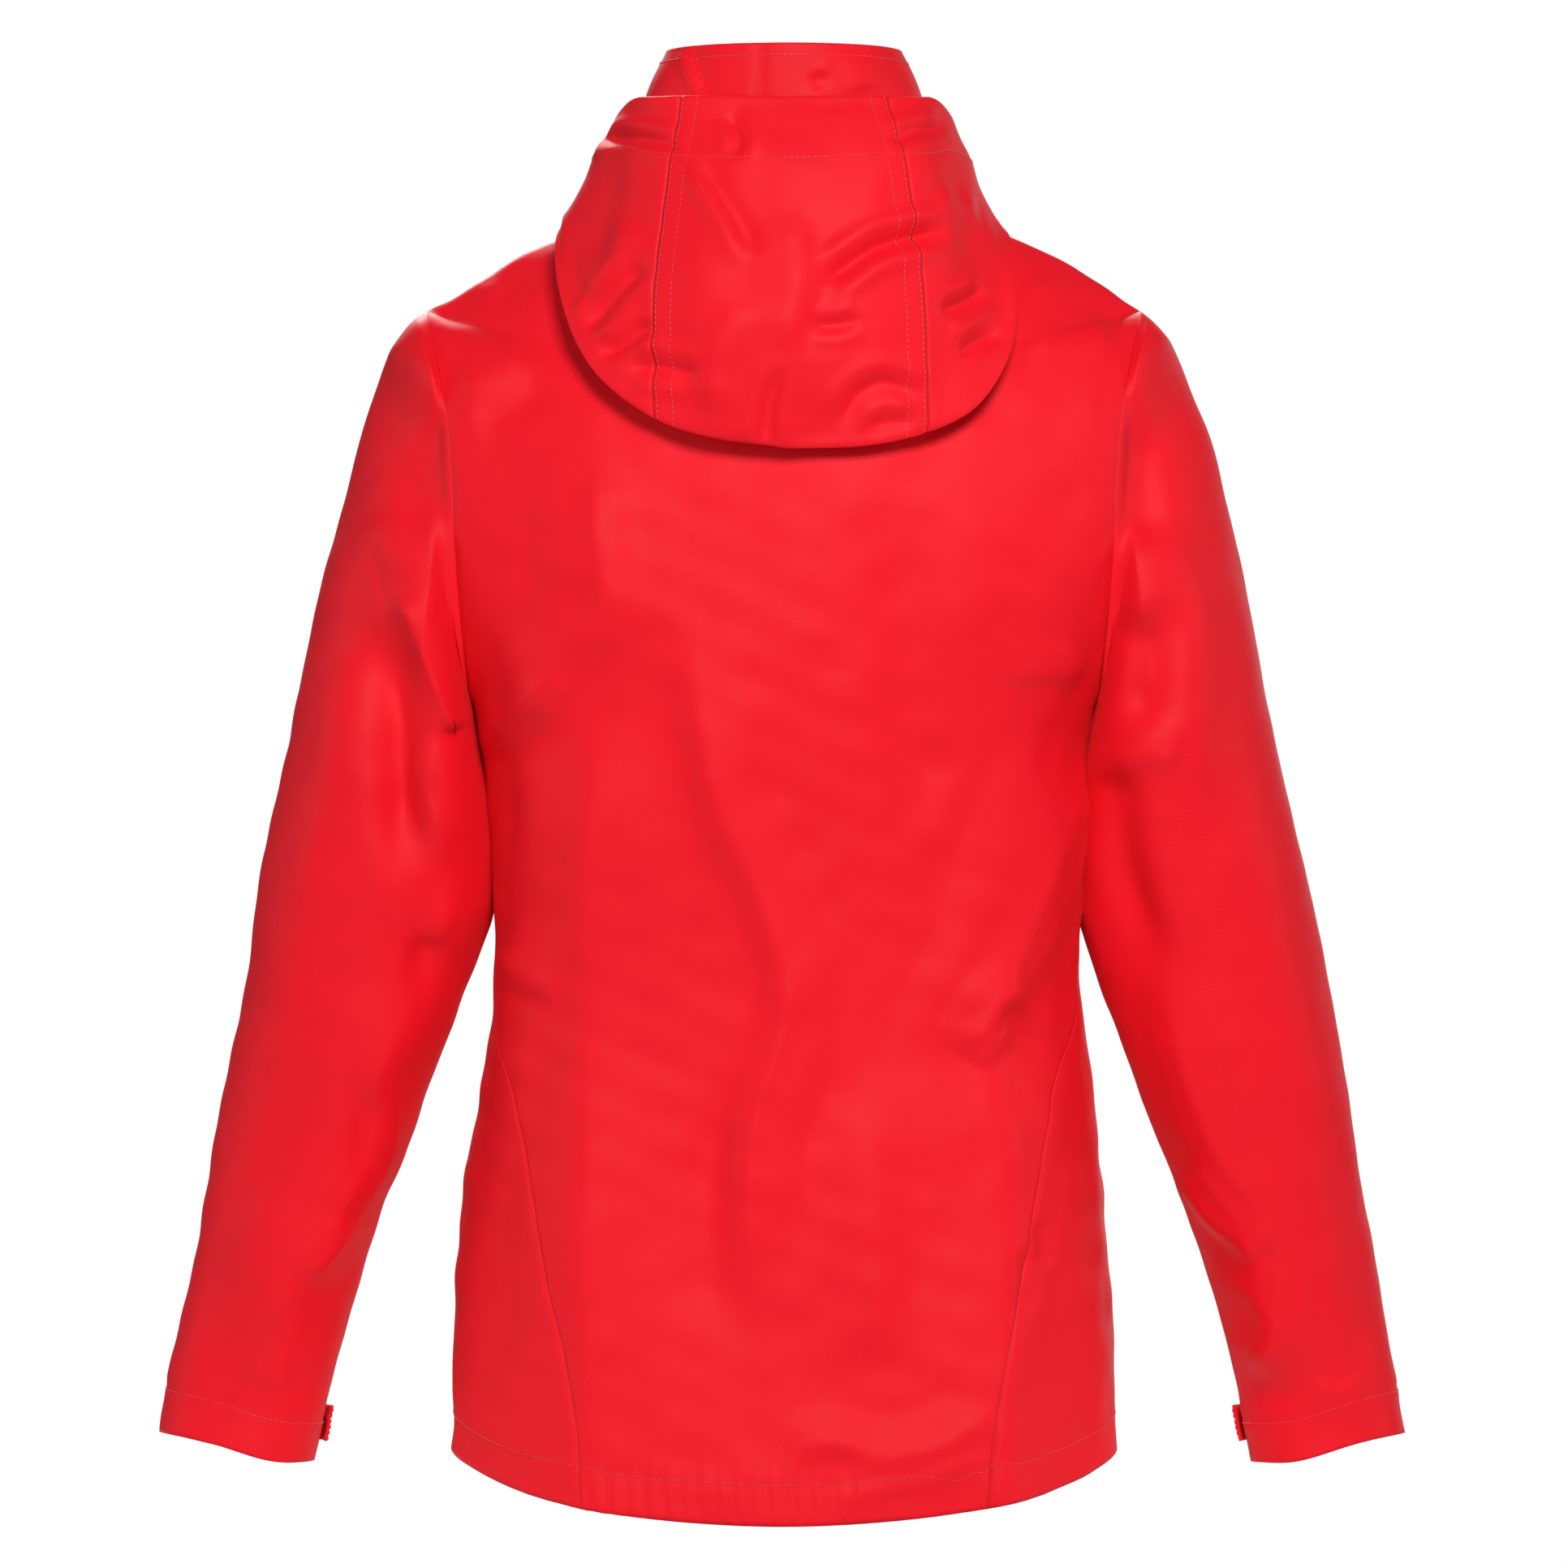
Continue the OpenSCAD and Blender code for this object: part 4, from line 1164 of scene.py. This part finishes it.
def ring_normals(grid):
    wrap = np.concatenate([grid[:, -2:-1], grid, grid[:, 1:2]], axis=1)
    return grid_normals(wrap)[:, 1:-1]


sleeve_pieces("left", LEFT_SLEEVE, 1)
sleeve_pieces("right", RIGHT_SLEEVE, -1)


# ---------------------------------------------------------------- cuff tabs

TAB_LOW, TAB_HIGH = 5, 13


def wrapped_strip(grid, first, last, low, high, near, cols, rows):
    """Strip of a sleeve's surface between two angles, raised off it."""
    n = ring_normals(grid)
    a = np.linspace(first, last, cols) / 360 * SLEEVE_AROUND
    r = np.linspace(low, high, rows)
    ai, ri = np.floor(a).astype(int), np.floor(r).astype(int)
    fa, fr = (a - ai)[None, :, None], (r - ri)[:, None, None]

    def sample(g):
        top = mix(g[ri][:, ai], g[ri][:, ai + 1], fa)
        bottom = mix(g[ri + 1][:, ai], g[ri + 1][:, ai + 1], fa)
        return mix(top, bottom, fr)

    return sample(grid) + near * unit(sample(n))


def tab_pieces(side, grid, sign):
    """Tab sewn at the inner edge, wrapped round the front and held by hook and loop."""
    def turn(first, last):
        return (first, last) if sign > 0 else (360 - last, 360 - first)

    pad = wrapped_strip(grid, *turn(232, 282), TAB_LOW + 1.5, TAB_HIGH - 1.5, 1.0, 20, 8)
    place(cloth("loop_pad_" + side, pad, red_pile, red_pile, THIN_FABRIC), side + "_sleeve",
          "loop_patch_" + side, slot="hook_loop")
    hooks = wrapped_strip(grid, *turn(236, 264), TAB_LOW + 1.8, TAB_HIGH - 1.8, 2.0, 14, 8)
    place(cloth("hook_pad_" + side, hooks, red_pile, red_pile, THIN_FABRIC), side + "_tab",
          "hook_patch_" + side, slot="hook_loop")
    tab = wrapped_strip(grid, *turn(181, 268), TAB_LOW, TAB_HIGH, 4.2, 46, 14)
    place(cloth("tab_" + side, tab, shell, shell, 2.0), side + "_tab", "cuff_tab_" + side,
          slot="shell_fabric")
    return tab


TABS = {"left": tab_pieces("left", LEFT_SLEEVE, 1), "right": tab_pieces("right", RIGHT_SLEEVE, -1)}


# ---------------------------------------------------------------- front zip

def zip_frame(z):
    """Origin, way up the zip and way into the jacket, at height z."""
    angle = math.atan(FRONT_SLOPE)
    up = np.array([0, math.sin(angle), math.cos(angle)])
    inward = np.array([0, math.cos(angle), -math.sin(angle)])
    return np.array([0, front_y(z), z]), up, inward


ZIP_DEEP = 4.6
TOOTH_PITCH = 2.7
ZIP_BOTTOM, ZIP_TOP = -SIDE_DROP + 6, COLLAR_FRONT - 8


def zip_strip(name, x0, x1, depth, low, high, material, thick=0.7, wave=0.0):
    origin, up, inward = zip_frame(low)
    t = np.linspace(0, high - low, int((high - low) / 5) + 2)[:, None, None]
    x = np.linspace(x1, x0, 8)[None, :, None]
    grid = origin + t * up + x * np.array([1.0, 0, 0]) + depth * inward
    grid = grid + inward * wave * np.sin(t / 17.0) * np.sin(x / 3.0)
    return cloth(name, grid, material, material, thick, flip=True)


def plain_node(node, material):
    """A hard piece keeps its CAD shape and takes a finish."""
    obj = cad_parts[node]
    obj.data.materials.clear()
    obj.data.materials.append(material)


def front_zip():
    for side, sign in (("left", 1), ("right", -1)):
        edges = sorted((sign * 3.2, sign * 12.5))
        strip = zip_strip("zip_tape_" + side, *edges, ZIP_DEEP, ZIP_BOTTOM, ZIP_TOP, red_tape)
        place(strip, "torso", "front_tape_" + side, slot="zip_tape")
    flap = zip_strip("flap_behind_zip", -17, 14, ZIP_DEEP + 5.0, ZIP_BOTTOM + 14, -12, shell, 1.2,
                     0.4)
    place(flap, "torso", "storm_flap", slot="shell_fabric")
    guard = zip_strip("chin_guard_pad", -9, 9, ZIP_DEEP + 4.0, COLLAR_FRONT - 26, COLLAR_FRONT - 4,
                      mesh_lining, 1.4)
    place(guard, "torso", "chin_guard", slot="lining")


front_zip()


def repeat_along(name, lines, pitch, make_unit, material):
    """Copies of one small mesh set along lines, made by a node tree and turned into a mesh."""
    mesh = bpy.data.meshes.new(name)
    points, edges = [], []
    for line in lines:
        start = len(points)
        points += (np.asarray(line) * MM).tolist()
        edges += [(start + i, start + i + 1) for i in range(len(line) - 1)]
    mesh.from_pydata(points, edges, [])
    obj = bpy.data.objects.new(name, mesh)
    bpy.context.scene.collection.objects.link(obj)
    tree = bpy.data.node_groups.new(name, "GeometryNodeTree")
    face = tree.interface
    face.new_socket("Geometry", in_out="INPUT", socket_type="NodeSocketGeometry")
    face.new_socket("Pitch", in_out="INPUT", socket_type="NodeSocketFloat")
    face.new_socket("Geometry", in_out="OUTPUT", socket_type="NodeSocketGeometry")
    add = tree.nodes.new
    source, sink = add("NodeGroupInput"), add("NodeGroupOutput")
    as_curve, spaced = add("GeometryNodeMeshToCurve"), add("GeometryNodeResampleCurve")
    place_on, real = add("GeometryNodeInstanceOnPoints"), add("GeometryNodeRealizeInstances")
    tangent, align = add("GeometryNodeInputTangent"), add("FunctionNodeAlignRotationToVector")
    paint = add("GeometryNodeSetMaterial")
    spaced.mode = "LENGTH"
    align.axis = "X"
    paint.inputs["Material"].default_value = material
    link = tree.links.new
    shape = make_unit(tree)
    link(source.outputs["Geometry"], as_curve.inputs[0])
    link(as_curve.outputs[0], spaced.inputs["Curve"])
    link(source.outputs["Pitch"], spaced.inputs["Length"])
    link(spaced.outputs[0], place_on.inputs["Points"])
    link(shape, place_on.inputs["Instance"])
    link(tangent.outputs[0], align.inputs["Vector"])
    link(align.outputs[0], place_on.inputs["Rotation"])
    link(place_on.outputs[0], real.inputs[0])
    link(real.outputs[0], paint.inputs["Geometry"])
    link(paint.outputs[0], sink.inputs[0])
    modifier = obj.modifiers.new(name, "NODES")
    modifier.node_group = tree
    for item in tree.interface.items_tree:
        if item.in_out == "INPUT" and item.name == "Pitch":
            modifier[item.identifier] = pitch * MM
    bpy.context.view_layer.update()
    made = bpy.data.meshes.new_from_object(obj.evaluated_get(bpy.context.evaluated_depsgraph_get()))
    obj.modifiers.clear()
    obj.data = made
    made.name = name
    return obj


def stitch_unit(tree):
    """One stitch: a small bar with soft ends that sinks into the cloth."""
    bar = tree.nodes.new("GeometryNodeMeshUVSphere")
    bar.inputs["Segments"].default_value = 6
    bar.inputs["Rings"].default_value = 4
    bar.inputs["Radius"].default_value = 0.5 * MM
    size = tree.nodes.new("GeometryNodeTransform")
    size.inputs["Rotation"].default_value = (0, math.pi / 2, 0)
    stretch = tree.nodes.new("GeometryNodeTransform")
    stretch.inputs["Scale"].default_value = (2.3, 0.62, 0.62)
    tree.links.new(bar.outputs[0], size.inputs[0])
    tree.links.new(size.outputs[0], stretch.inputs[0])
    return stretch.outputs[0]


def tooth_unit(tree):
    """One moulded tooth: a rounded block that stands across the chain."""
    block = tree.nodes.new("GeometryNodeMeshCube")
    block.inputs["Size"].default_value = (1.5 * MM, 2.4 * MM, 2.2 * MM)
    round_off = tree.nodes.new("GeometryNodeSubdivisionSurface")
    round_off.inputs["Level"].default_value = 1
    round_off.inputs["Edge Crease"].default_value = 0.7
    tree.links.new(block.outputs[0], round_off.inputs[0])
    return round_off.outputs[0]


def chain_of_teeth():
    for side, sign in (("left", 1), ("right", -1)):
        origin, up, inward = zip_frame(ZIP_BOTTOM)
        shift = 8 + (0 if sign > 0 else TOOTH_PITCH / 2)
        length = (ZIP_TOP - ZIP_BOTTOM) / math.cos(math.atan(FRONT_SLOPE)) - 16
        run = np.array([shift, shift + length])[:, None]
        line = origin + run * up + ZIP_DEEP * inward + np.array([2.0 * sign, 0, 0])
        teeth = repeat_along("zip_teeth_" + side, [line], TOOTH_PITCH, tooth_unit, red_plastic)
        place(teeth, "torso", "front_teeth_" + side, slot="teeth")


chain_of_teeth()
for node in ("zip_top_stops", "front_slider", "pocket_slider_left", "pocket_slider_right"):
    plain_node(node, slider_metal)
for node in ("front_puller", "pocket_puller_left", "pocket_puller_right"):
    plain_node(node, black_plastic)
plain_node("zip_bottom_box", red_plastic)


# ---------------------------------------------------------------- hand pockets

POCKET_TOP = np.array([97, -171.5, -478])
POCKET_BOTTOM = np.array([126, -168, -640])
POCKET_DOWN = unit(POCKET_BOTTOM - POCKET_TOP)
POCKET_SIDE = unit(np.cross(POCKET_DOWN, unit(np.array([0.55, -0.83, -0.03]))))
POCKET_FACE = np.cross(POCKET_SIDE, POCKET_DOWN)
POCKET_LENGTH = np.linalg.norm(POCKET_BOTTOM - POCKET_TOP)


def surface_tree(*grids):
    """Search trees of the outer faces of some cloth grids."""
    trees = []
    for grid in grids:
        rows, cols = grid.shape[:2]
        points = [Vector(p) for p in (grid.reshape(-1, 3) * MM)]
        faces = [(r * cols + c, r * cols + c + 1, (r + 1) * cols + c + 1, (r + 1) * cols + c)
                 for r in range(rows - 1) for c in range(cols - 1)]
        trees.append(BVHTree.FromPolygons(points, faces))
    return trees


def sided(grid, sign):
    return grid if sign > 0 else mirrored(grid)


def pocket_sheet(x0, x1, z0, z1, lift, wave=0.0):
    z = np.linspace(z1, z0, 50)[:, None, None]
    x = np.linspace(x0, x1, 9)[None, :, None]
    out = lift + wave * np.sin(z / 11.0)
    return POCKET_TOP + x * POCKET_SIDE + z * POCKET_DOWN + out * POCKET_FACE


def settled(sheet, tree, lift, sign):
    """A welt sheet whose rim lies down on the panel, and which stays flat beside the zip."""
    flip = np.array([sign, 1, 1])
    face = POCKET_FACE * flip
    away = sheet * flip - POCKET_TOP
    x, z = away @ POCKET_SIDE, away @ POCKET_DOWN
    rim = np.maximum(smooth((np.abs(x) - 2.5) / 10),
                     np.maximum(smooth((-z - 2) / 12), smooth((z - POCKET_LENGTH - 2) / 12)))
    below = np.array([tree.find_nearest(Vector(p))[0][:] for p in sheet.reshape(-1, 3) * MM])
    below = below.reshape(sheet.shape) / MM + (1.5 + lift) * face
    return mix(sheet, below, rim[..., None])


def pocket_pieces(side):
    welts = []
    for x0, x1 in ((-12.5, -1.6), (1.6, 12.5)):
        welts.append((pocket_sheet(x0, x1, -9, POCKET_LENGTH + 9, -0.2, 0.15), -0.2))
    for z0, z1 in ((-15, -3), (POCKET_LENGTH + 3, POCKET_LENGTH + 15)):
        welts.append((pocket_sheet(-12.5, 12.5, z0, z1, 0.0), 0.0))
    tape = pocket_sheet(-5, 5, -4, POCKET_LENGTH + 4, -1.2)
    front = BODY["front_panel_" + side]
    sign = 1 if side == "left" else -1
    tree, = surface_tree(front)
    parts = [cloth(f"welt_{side}_{i}", settled(sided(g, sign), tree, lift, sign), shell, shell, 1.0)
             for i, (g, lift) in enumerate(welts)]
    place(joined("welt_" + side, parts), "torso", "pocket_welt_" + side, slot="shell_fabric")
    strip = cloth("pocket_tape_" + side, sided(tape, sign), red_tape, red_tape, 0.6)
    chain = []
    for x in (-0.8, 0.8):
        z = np.array([0, POCKET_LENGTH])[:, None]
        chain.append((POCKET_TOP + x * POCKET_SIDE + z * POCKET_DOWN - 0.2 * POCKET_FACE)
                     * np.array([sign, 1, 1]))
    coil = repeat_along("pocket_coil_" + side, chain, 1.5, coil_unit, red_plastic)
    place(joined("pocket_zip_" + side, [strip, coil]), "torso", "pocket_zip_" + side,
          slot="zip_tape")
    rows, cols = slice(6, 96, 4), slice(4, 52, 3)
    bag = front[rows, cols] if side == "left" else front[rows, -52:-4:3]
    place(cloth("pocket_bag_" + side + "_sheet", bag - 3.6 * outward(bag), mesh_lining, mesh_lining,
                1.0), "torso", "pocket_bag_" + side, slot="lining")


def coil_unit(tree):
    """One turn of a coil zip, seen as a small bead across the tape."""
    bead = tree.nodes.new("GeometryNodeMeshCube")
    bead.inputs["Size"].default_value = (0.9 * MM, 1.5 * MM, 1.2 * MM)
    return bead.outputs[0]


pocket_pieces("left")
pocket_pieces("right")


# ---------------------------------------------------------------- hanger loop

LOOP_RADIUS, RIBBON_WIDE = 23.4, 5


def hanger():
    turn = np.linspace(math.pi, 0, 40)[:, None]
    width = np.linspace(0, RIBBON_WIDE, 5)[None, :]
    grid = np.stack([LOOP_RADIUS * np.cos(turn) + 0 * width, -5 - width + 0 * turn,
                     -2 - LOOP_RADIUS * np.sin(turn) + 0 * width], -1)
    place(cloth("hanger_ribbon", grid, black_ribbon, black_ribbon, 1.1), "torso", "hanger_loop",
          slot="ribbon")


hanger()


# ---------------------------------------------------------------- stitching

def laid_on(line, trees):
    """Brings a line to the nearest point of the cloth."""
    out = []
    for p in path(line, 4 * len(line)) if len(line) > 2 else np.asarray(line, float):
        hits = [t.find_nearest(Vector(p * MM), 0.03) for t in trees]
        hits = [h for h in hits if h[0] is not None]
        if not hits:
            continue
        spot, normal, _, _ = min(hits, key=lambda h: h[3])
        out.append(np.array(spot + normal * STITCH_LIFT * MM) / MM)
    return out


def beside(line, step):
    """A line some millimetres beside another, along the cloth."""
    return line + step * unit(np.cross(np.gradient(line, axis=0), outward(line)))


def body_stitches():
    trees = surface_tree(*BODY.values(), COLLAR)
    lines = []
    for line in (FRONT_SEAM_LEFT, FRONT_SEAM_LEFT * FLIP_X):
        s = -1 if line[0, 0] > 0 else 1
        lines.append(laid_on(beside(line[:-3], s * 2.4), trees))
    lines.append(laid_on(HEM_BACK[2:-2], trees))
    for sign in (1, -1):
        flip = np.array([sign, 1, 1])
        lines.append(laid_on(HEM_FRONT[2:-3] * flip, trees))
        t = np.linspace(0, 1, 40)
        share = np.full(40, HEM_SHARE)
        a = mix(-seam_angles(share, -1), seam_angles(share, 1), t)
        ring = np.where((a > 0)[:, None], lower(share, np.abs(a), 1), lower(share, np.abs(a), -1))
        lines.append(laid_on(ring * flip, trees))
        edge = BODY["front_panel_left" if sign > 0 else "front_panel_right"]
        column = edge[:, 5] if sign > 0 else edge[:, -6]
        lines.append(laid_on(column[2:-1:2], trees))
    for h in (0.06, 0.93):
        lines.append(laid_on(collar_rows([h], 8)[0], trees))
    rows = repeat_along("stitches_on_body", [l for l in lines if len(l) > 2], STITCH_PITCH,
                        stitch_unit, seam_thread)
    place(rows, "torso", slot="shell_fabric")


def hood_stitches():
    crown = HOOD[NAPE_ROWS:]
    trees = surface_tree(crown)
    c, last = HOOD_SPLIT, HOOD_COLS
    lines = []
    for first, second in ((c + 1, c + 5), (last - c - 1, last - c - 5)):
        for col in (first, second):
            lines.append(laid_on(crown[4:, col], trees))
    lines.append(laid_on(crown[-17, 24:-24], trees))
    place(repeat_along("stitches_on_hood", lines, STITCH_PITCH, stitch_unit, seam_thread), "hood",
          slot="shell_fabric")


def sleeve_stitches(side, grid):
    trees = surface_tree(grid)
    lines = [laid_on(grid[9], trees)]
    place(repeat_along("stitches_on_cuff_" + side, lines, STITCH_PITCH, stitch_unit, seam_thread),
          side + "_sleeve", slot="shell_fabric")
    tab = TABS[side]
    edge = np.concatenate([tab[1, 1:-1], tab[1:-1, -2], tab[-2, -2:0:-1], tab[-2:0:-1, 1]])
    trees = surface_tree(tab)
    place(repeat_along("stitches_on_tab_" + side, [laid_on(edge, trees)], STITCH_PITCH, stitch_unit,
                       seam_thread), side + "_tab", slot="shell_fabric")


body_stitches()
hood_stitches()
sleeve_stitches("left", LEFT_SLEEVE)
sleeve_stitches("right", RIGHT_SLEEVE)


# ---------------------------------------------------------------- studio

FLOOR_RADIUS, FLOOR_Z = 0.95, -0.80
VIEW_CENTRE_Z, VIEW_WIDE = -0.320, 0.840
CAMERA_AWAY = 12.0
AMBIENT = 0.11


def floor():
    bpy.ops.mesh.primitive_circle_add(vertices=96, radius=FLOOR_RADIUS, fill_type="NGON",
                                      location=(0, 0, FLOOR_Z))
    disc = bpy.context.object
    disc.name = "pale_floor"
    f = Finish("pale floor")
    tone = f.noise(f.place(), 3.0)
    f.finish(Base_Color=f.colours(tone, (0.86, 0.86, 0.86), (0.90, 0.90, 0.90)), Roughness=0.8)
    disc.data.materials.append(f.material)


def soft_light(name, place_at, aim, size, power):
    data = bpy.data.lights.new(name, "AREA")
    data.shape = "RECTANGLE"
    data.size = data.size_y = size
    data.energy = power
    lamp = bpy.data.objects.new(name, data)
    lamp.location = place_at
    way = Vector(aim) - Vector(place_at)
    lamp.rotation_euler = way.to_track_quat("-Z", "Y").to_euler()
    bpy.context.scene.collection.objects.link(lamp)


def studio():
    middle = (0, 0, VIEW_CENTRE_Z)
    # The same light falls on the back and, turned half round, on the front
    for name, turn in (("back", 1), ("front", -1)):
        soft_light(name + "_key", (-0.35 * turn, 2.1 * turn, 0.95), middle, 0.7, 52)
        soft_light(name + "_fill", (1.2 * turn, 2.5 * turn, 0.0), middle, 1.2, 9)
    for name, turn in (("left", 1), ("right", -1)):
        soft_light(name + "_side", (3.0 * turn, 0.0, 0.4), middle, 1.0, 17)
    world = bpy.data.worlds.new("white studio")
    world.use_nodes = True
    tree = world.node_tree
    back = tree.nodes["Background"]
    back.inputs[0].default_value = (1, 1, 1, 1)
    # The backdrop is white to look at, and lights the jacket more gently than it looks
    path_kind = tree.nodes.new("ShaderNodeLightPath")
    strength = tree.nodes.new("ShaderNodeMapRange")
    strength.inputs["To Min"].default_value = AMBIENT
    strength.inputs["To Max"].default_value = 1.0
    tree.links.new(path_kind.outputs["Is Camera Ray"], strength.inputs["Value"])
    tree.links.new(strength.outputs["Result"], back.inputs[1])
    scene = bpy.context.scene
    scene.world = world
    scene.view_settings.view_transform = "Standard"


def camera():
    data = bpy.data.cameras.new("camera")
    data.sensor_width = 36
    data.lens = data.sensor_width * CAMERA_AWAY / VIEW_WIDE
    data.clip_end = 60
    eye = bpy.data.objects.new("camera", data)
    eye.location = (0, CAMERA_AWAY - 0.03, VIEW_CENTRE_Z)
    eye.rotation_euler = (math.pi / 2, 0, math.pi)
    bpy.context.scene.collection.objects.link(eye)
    bpy.context.scene.camera = eye


floor()
studio()
camera()
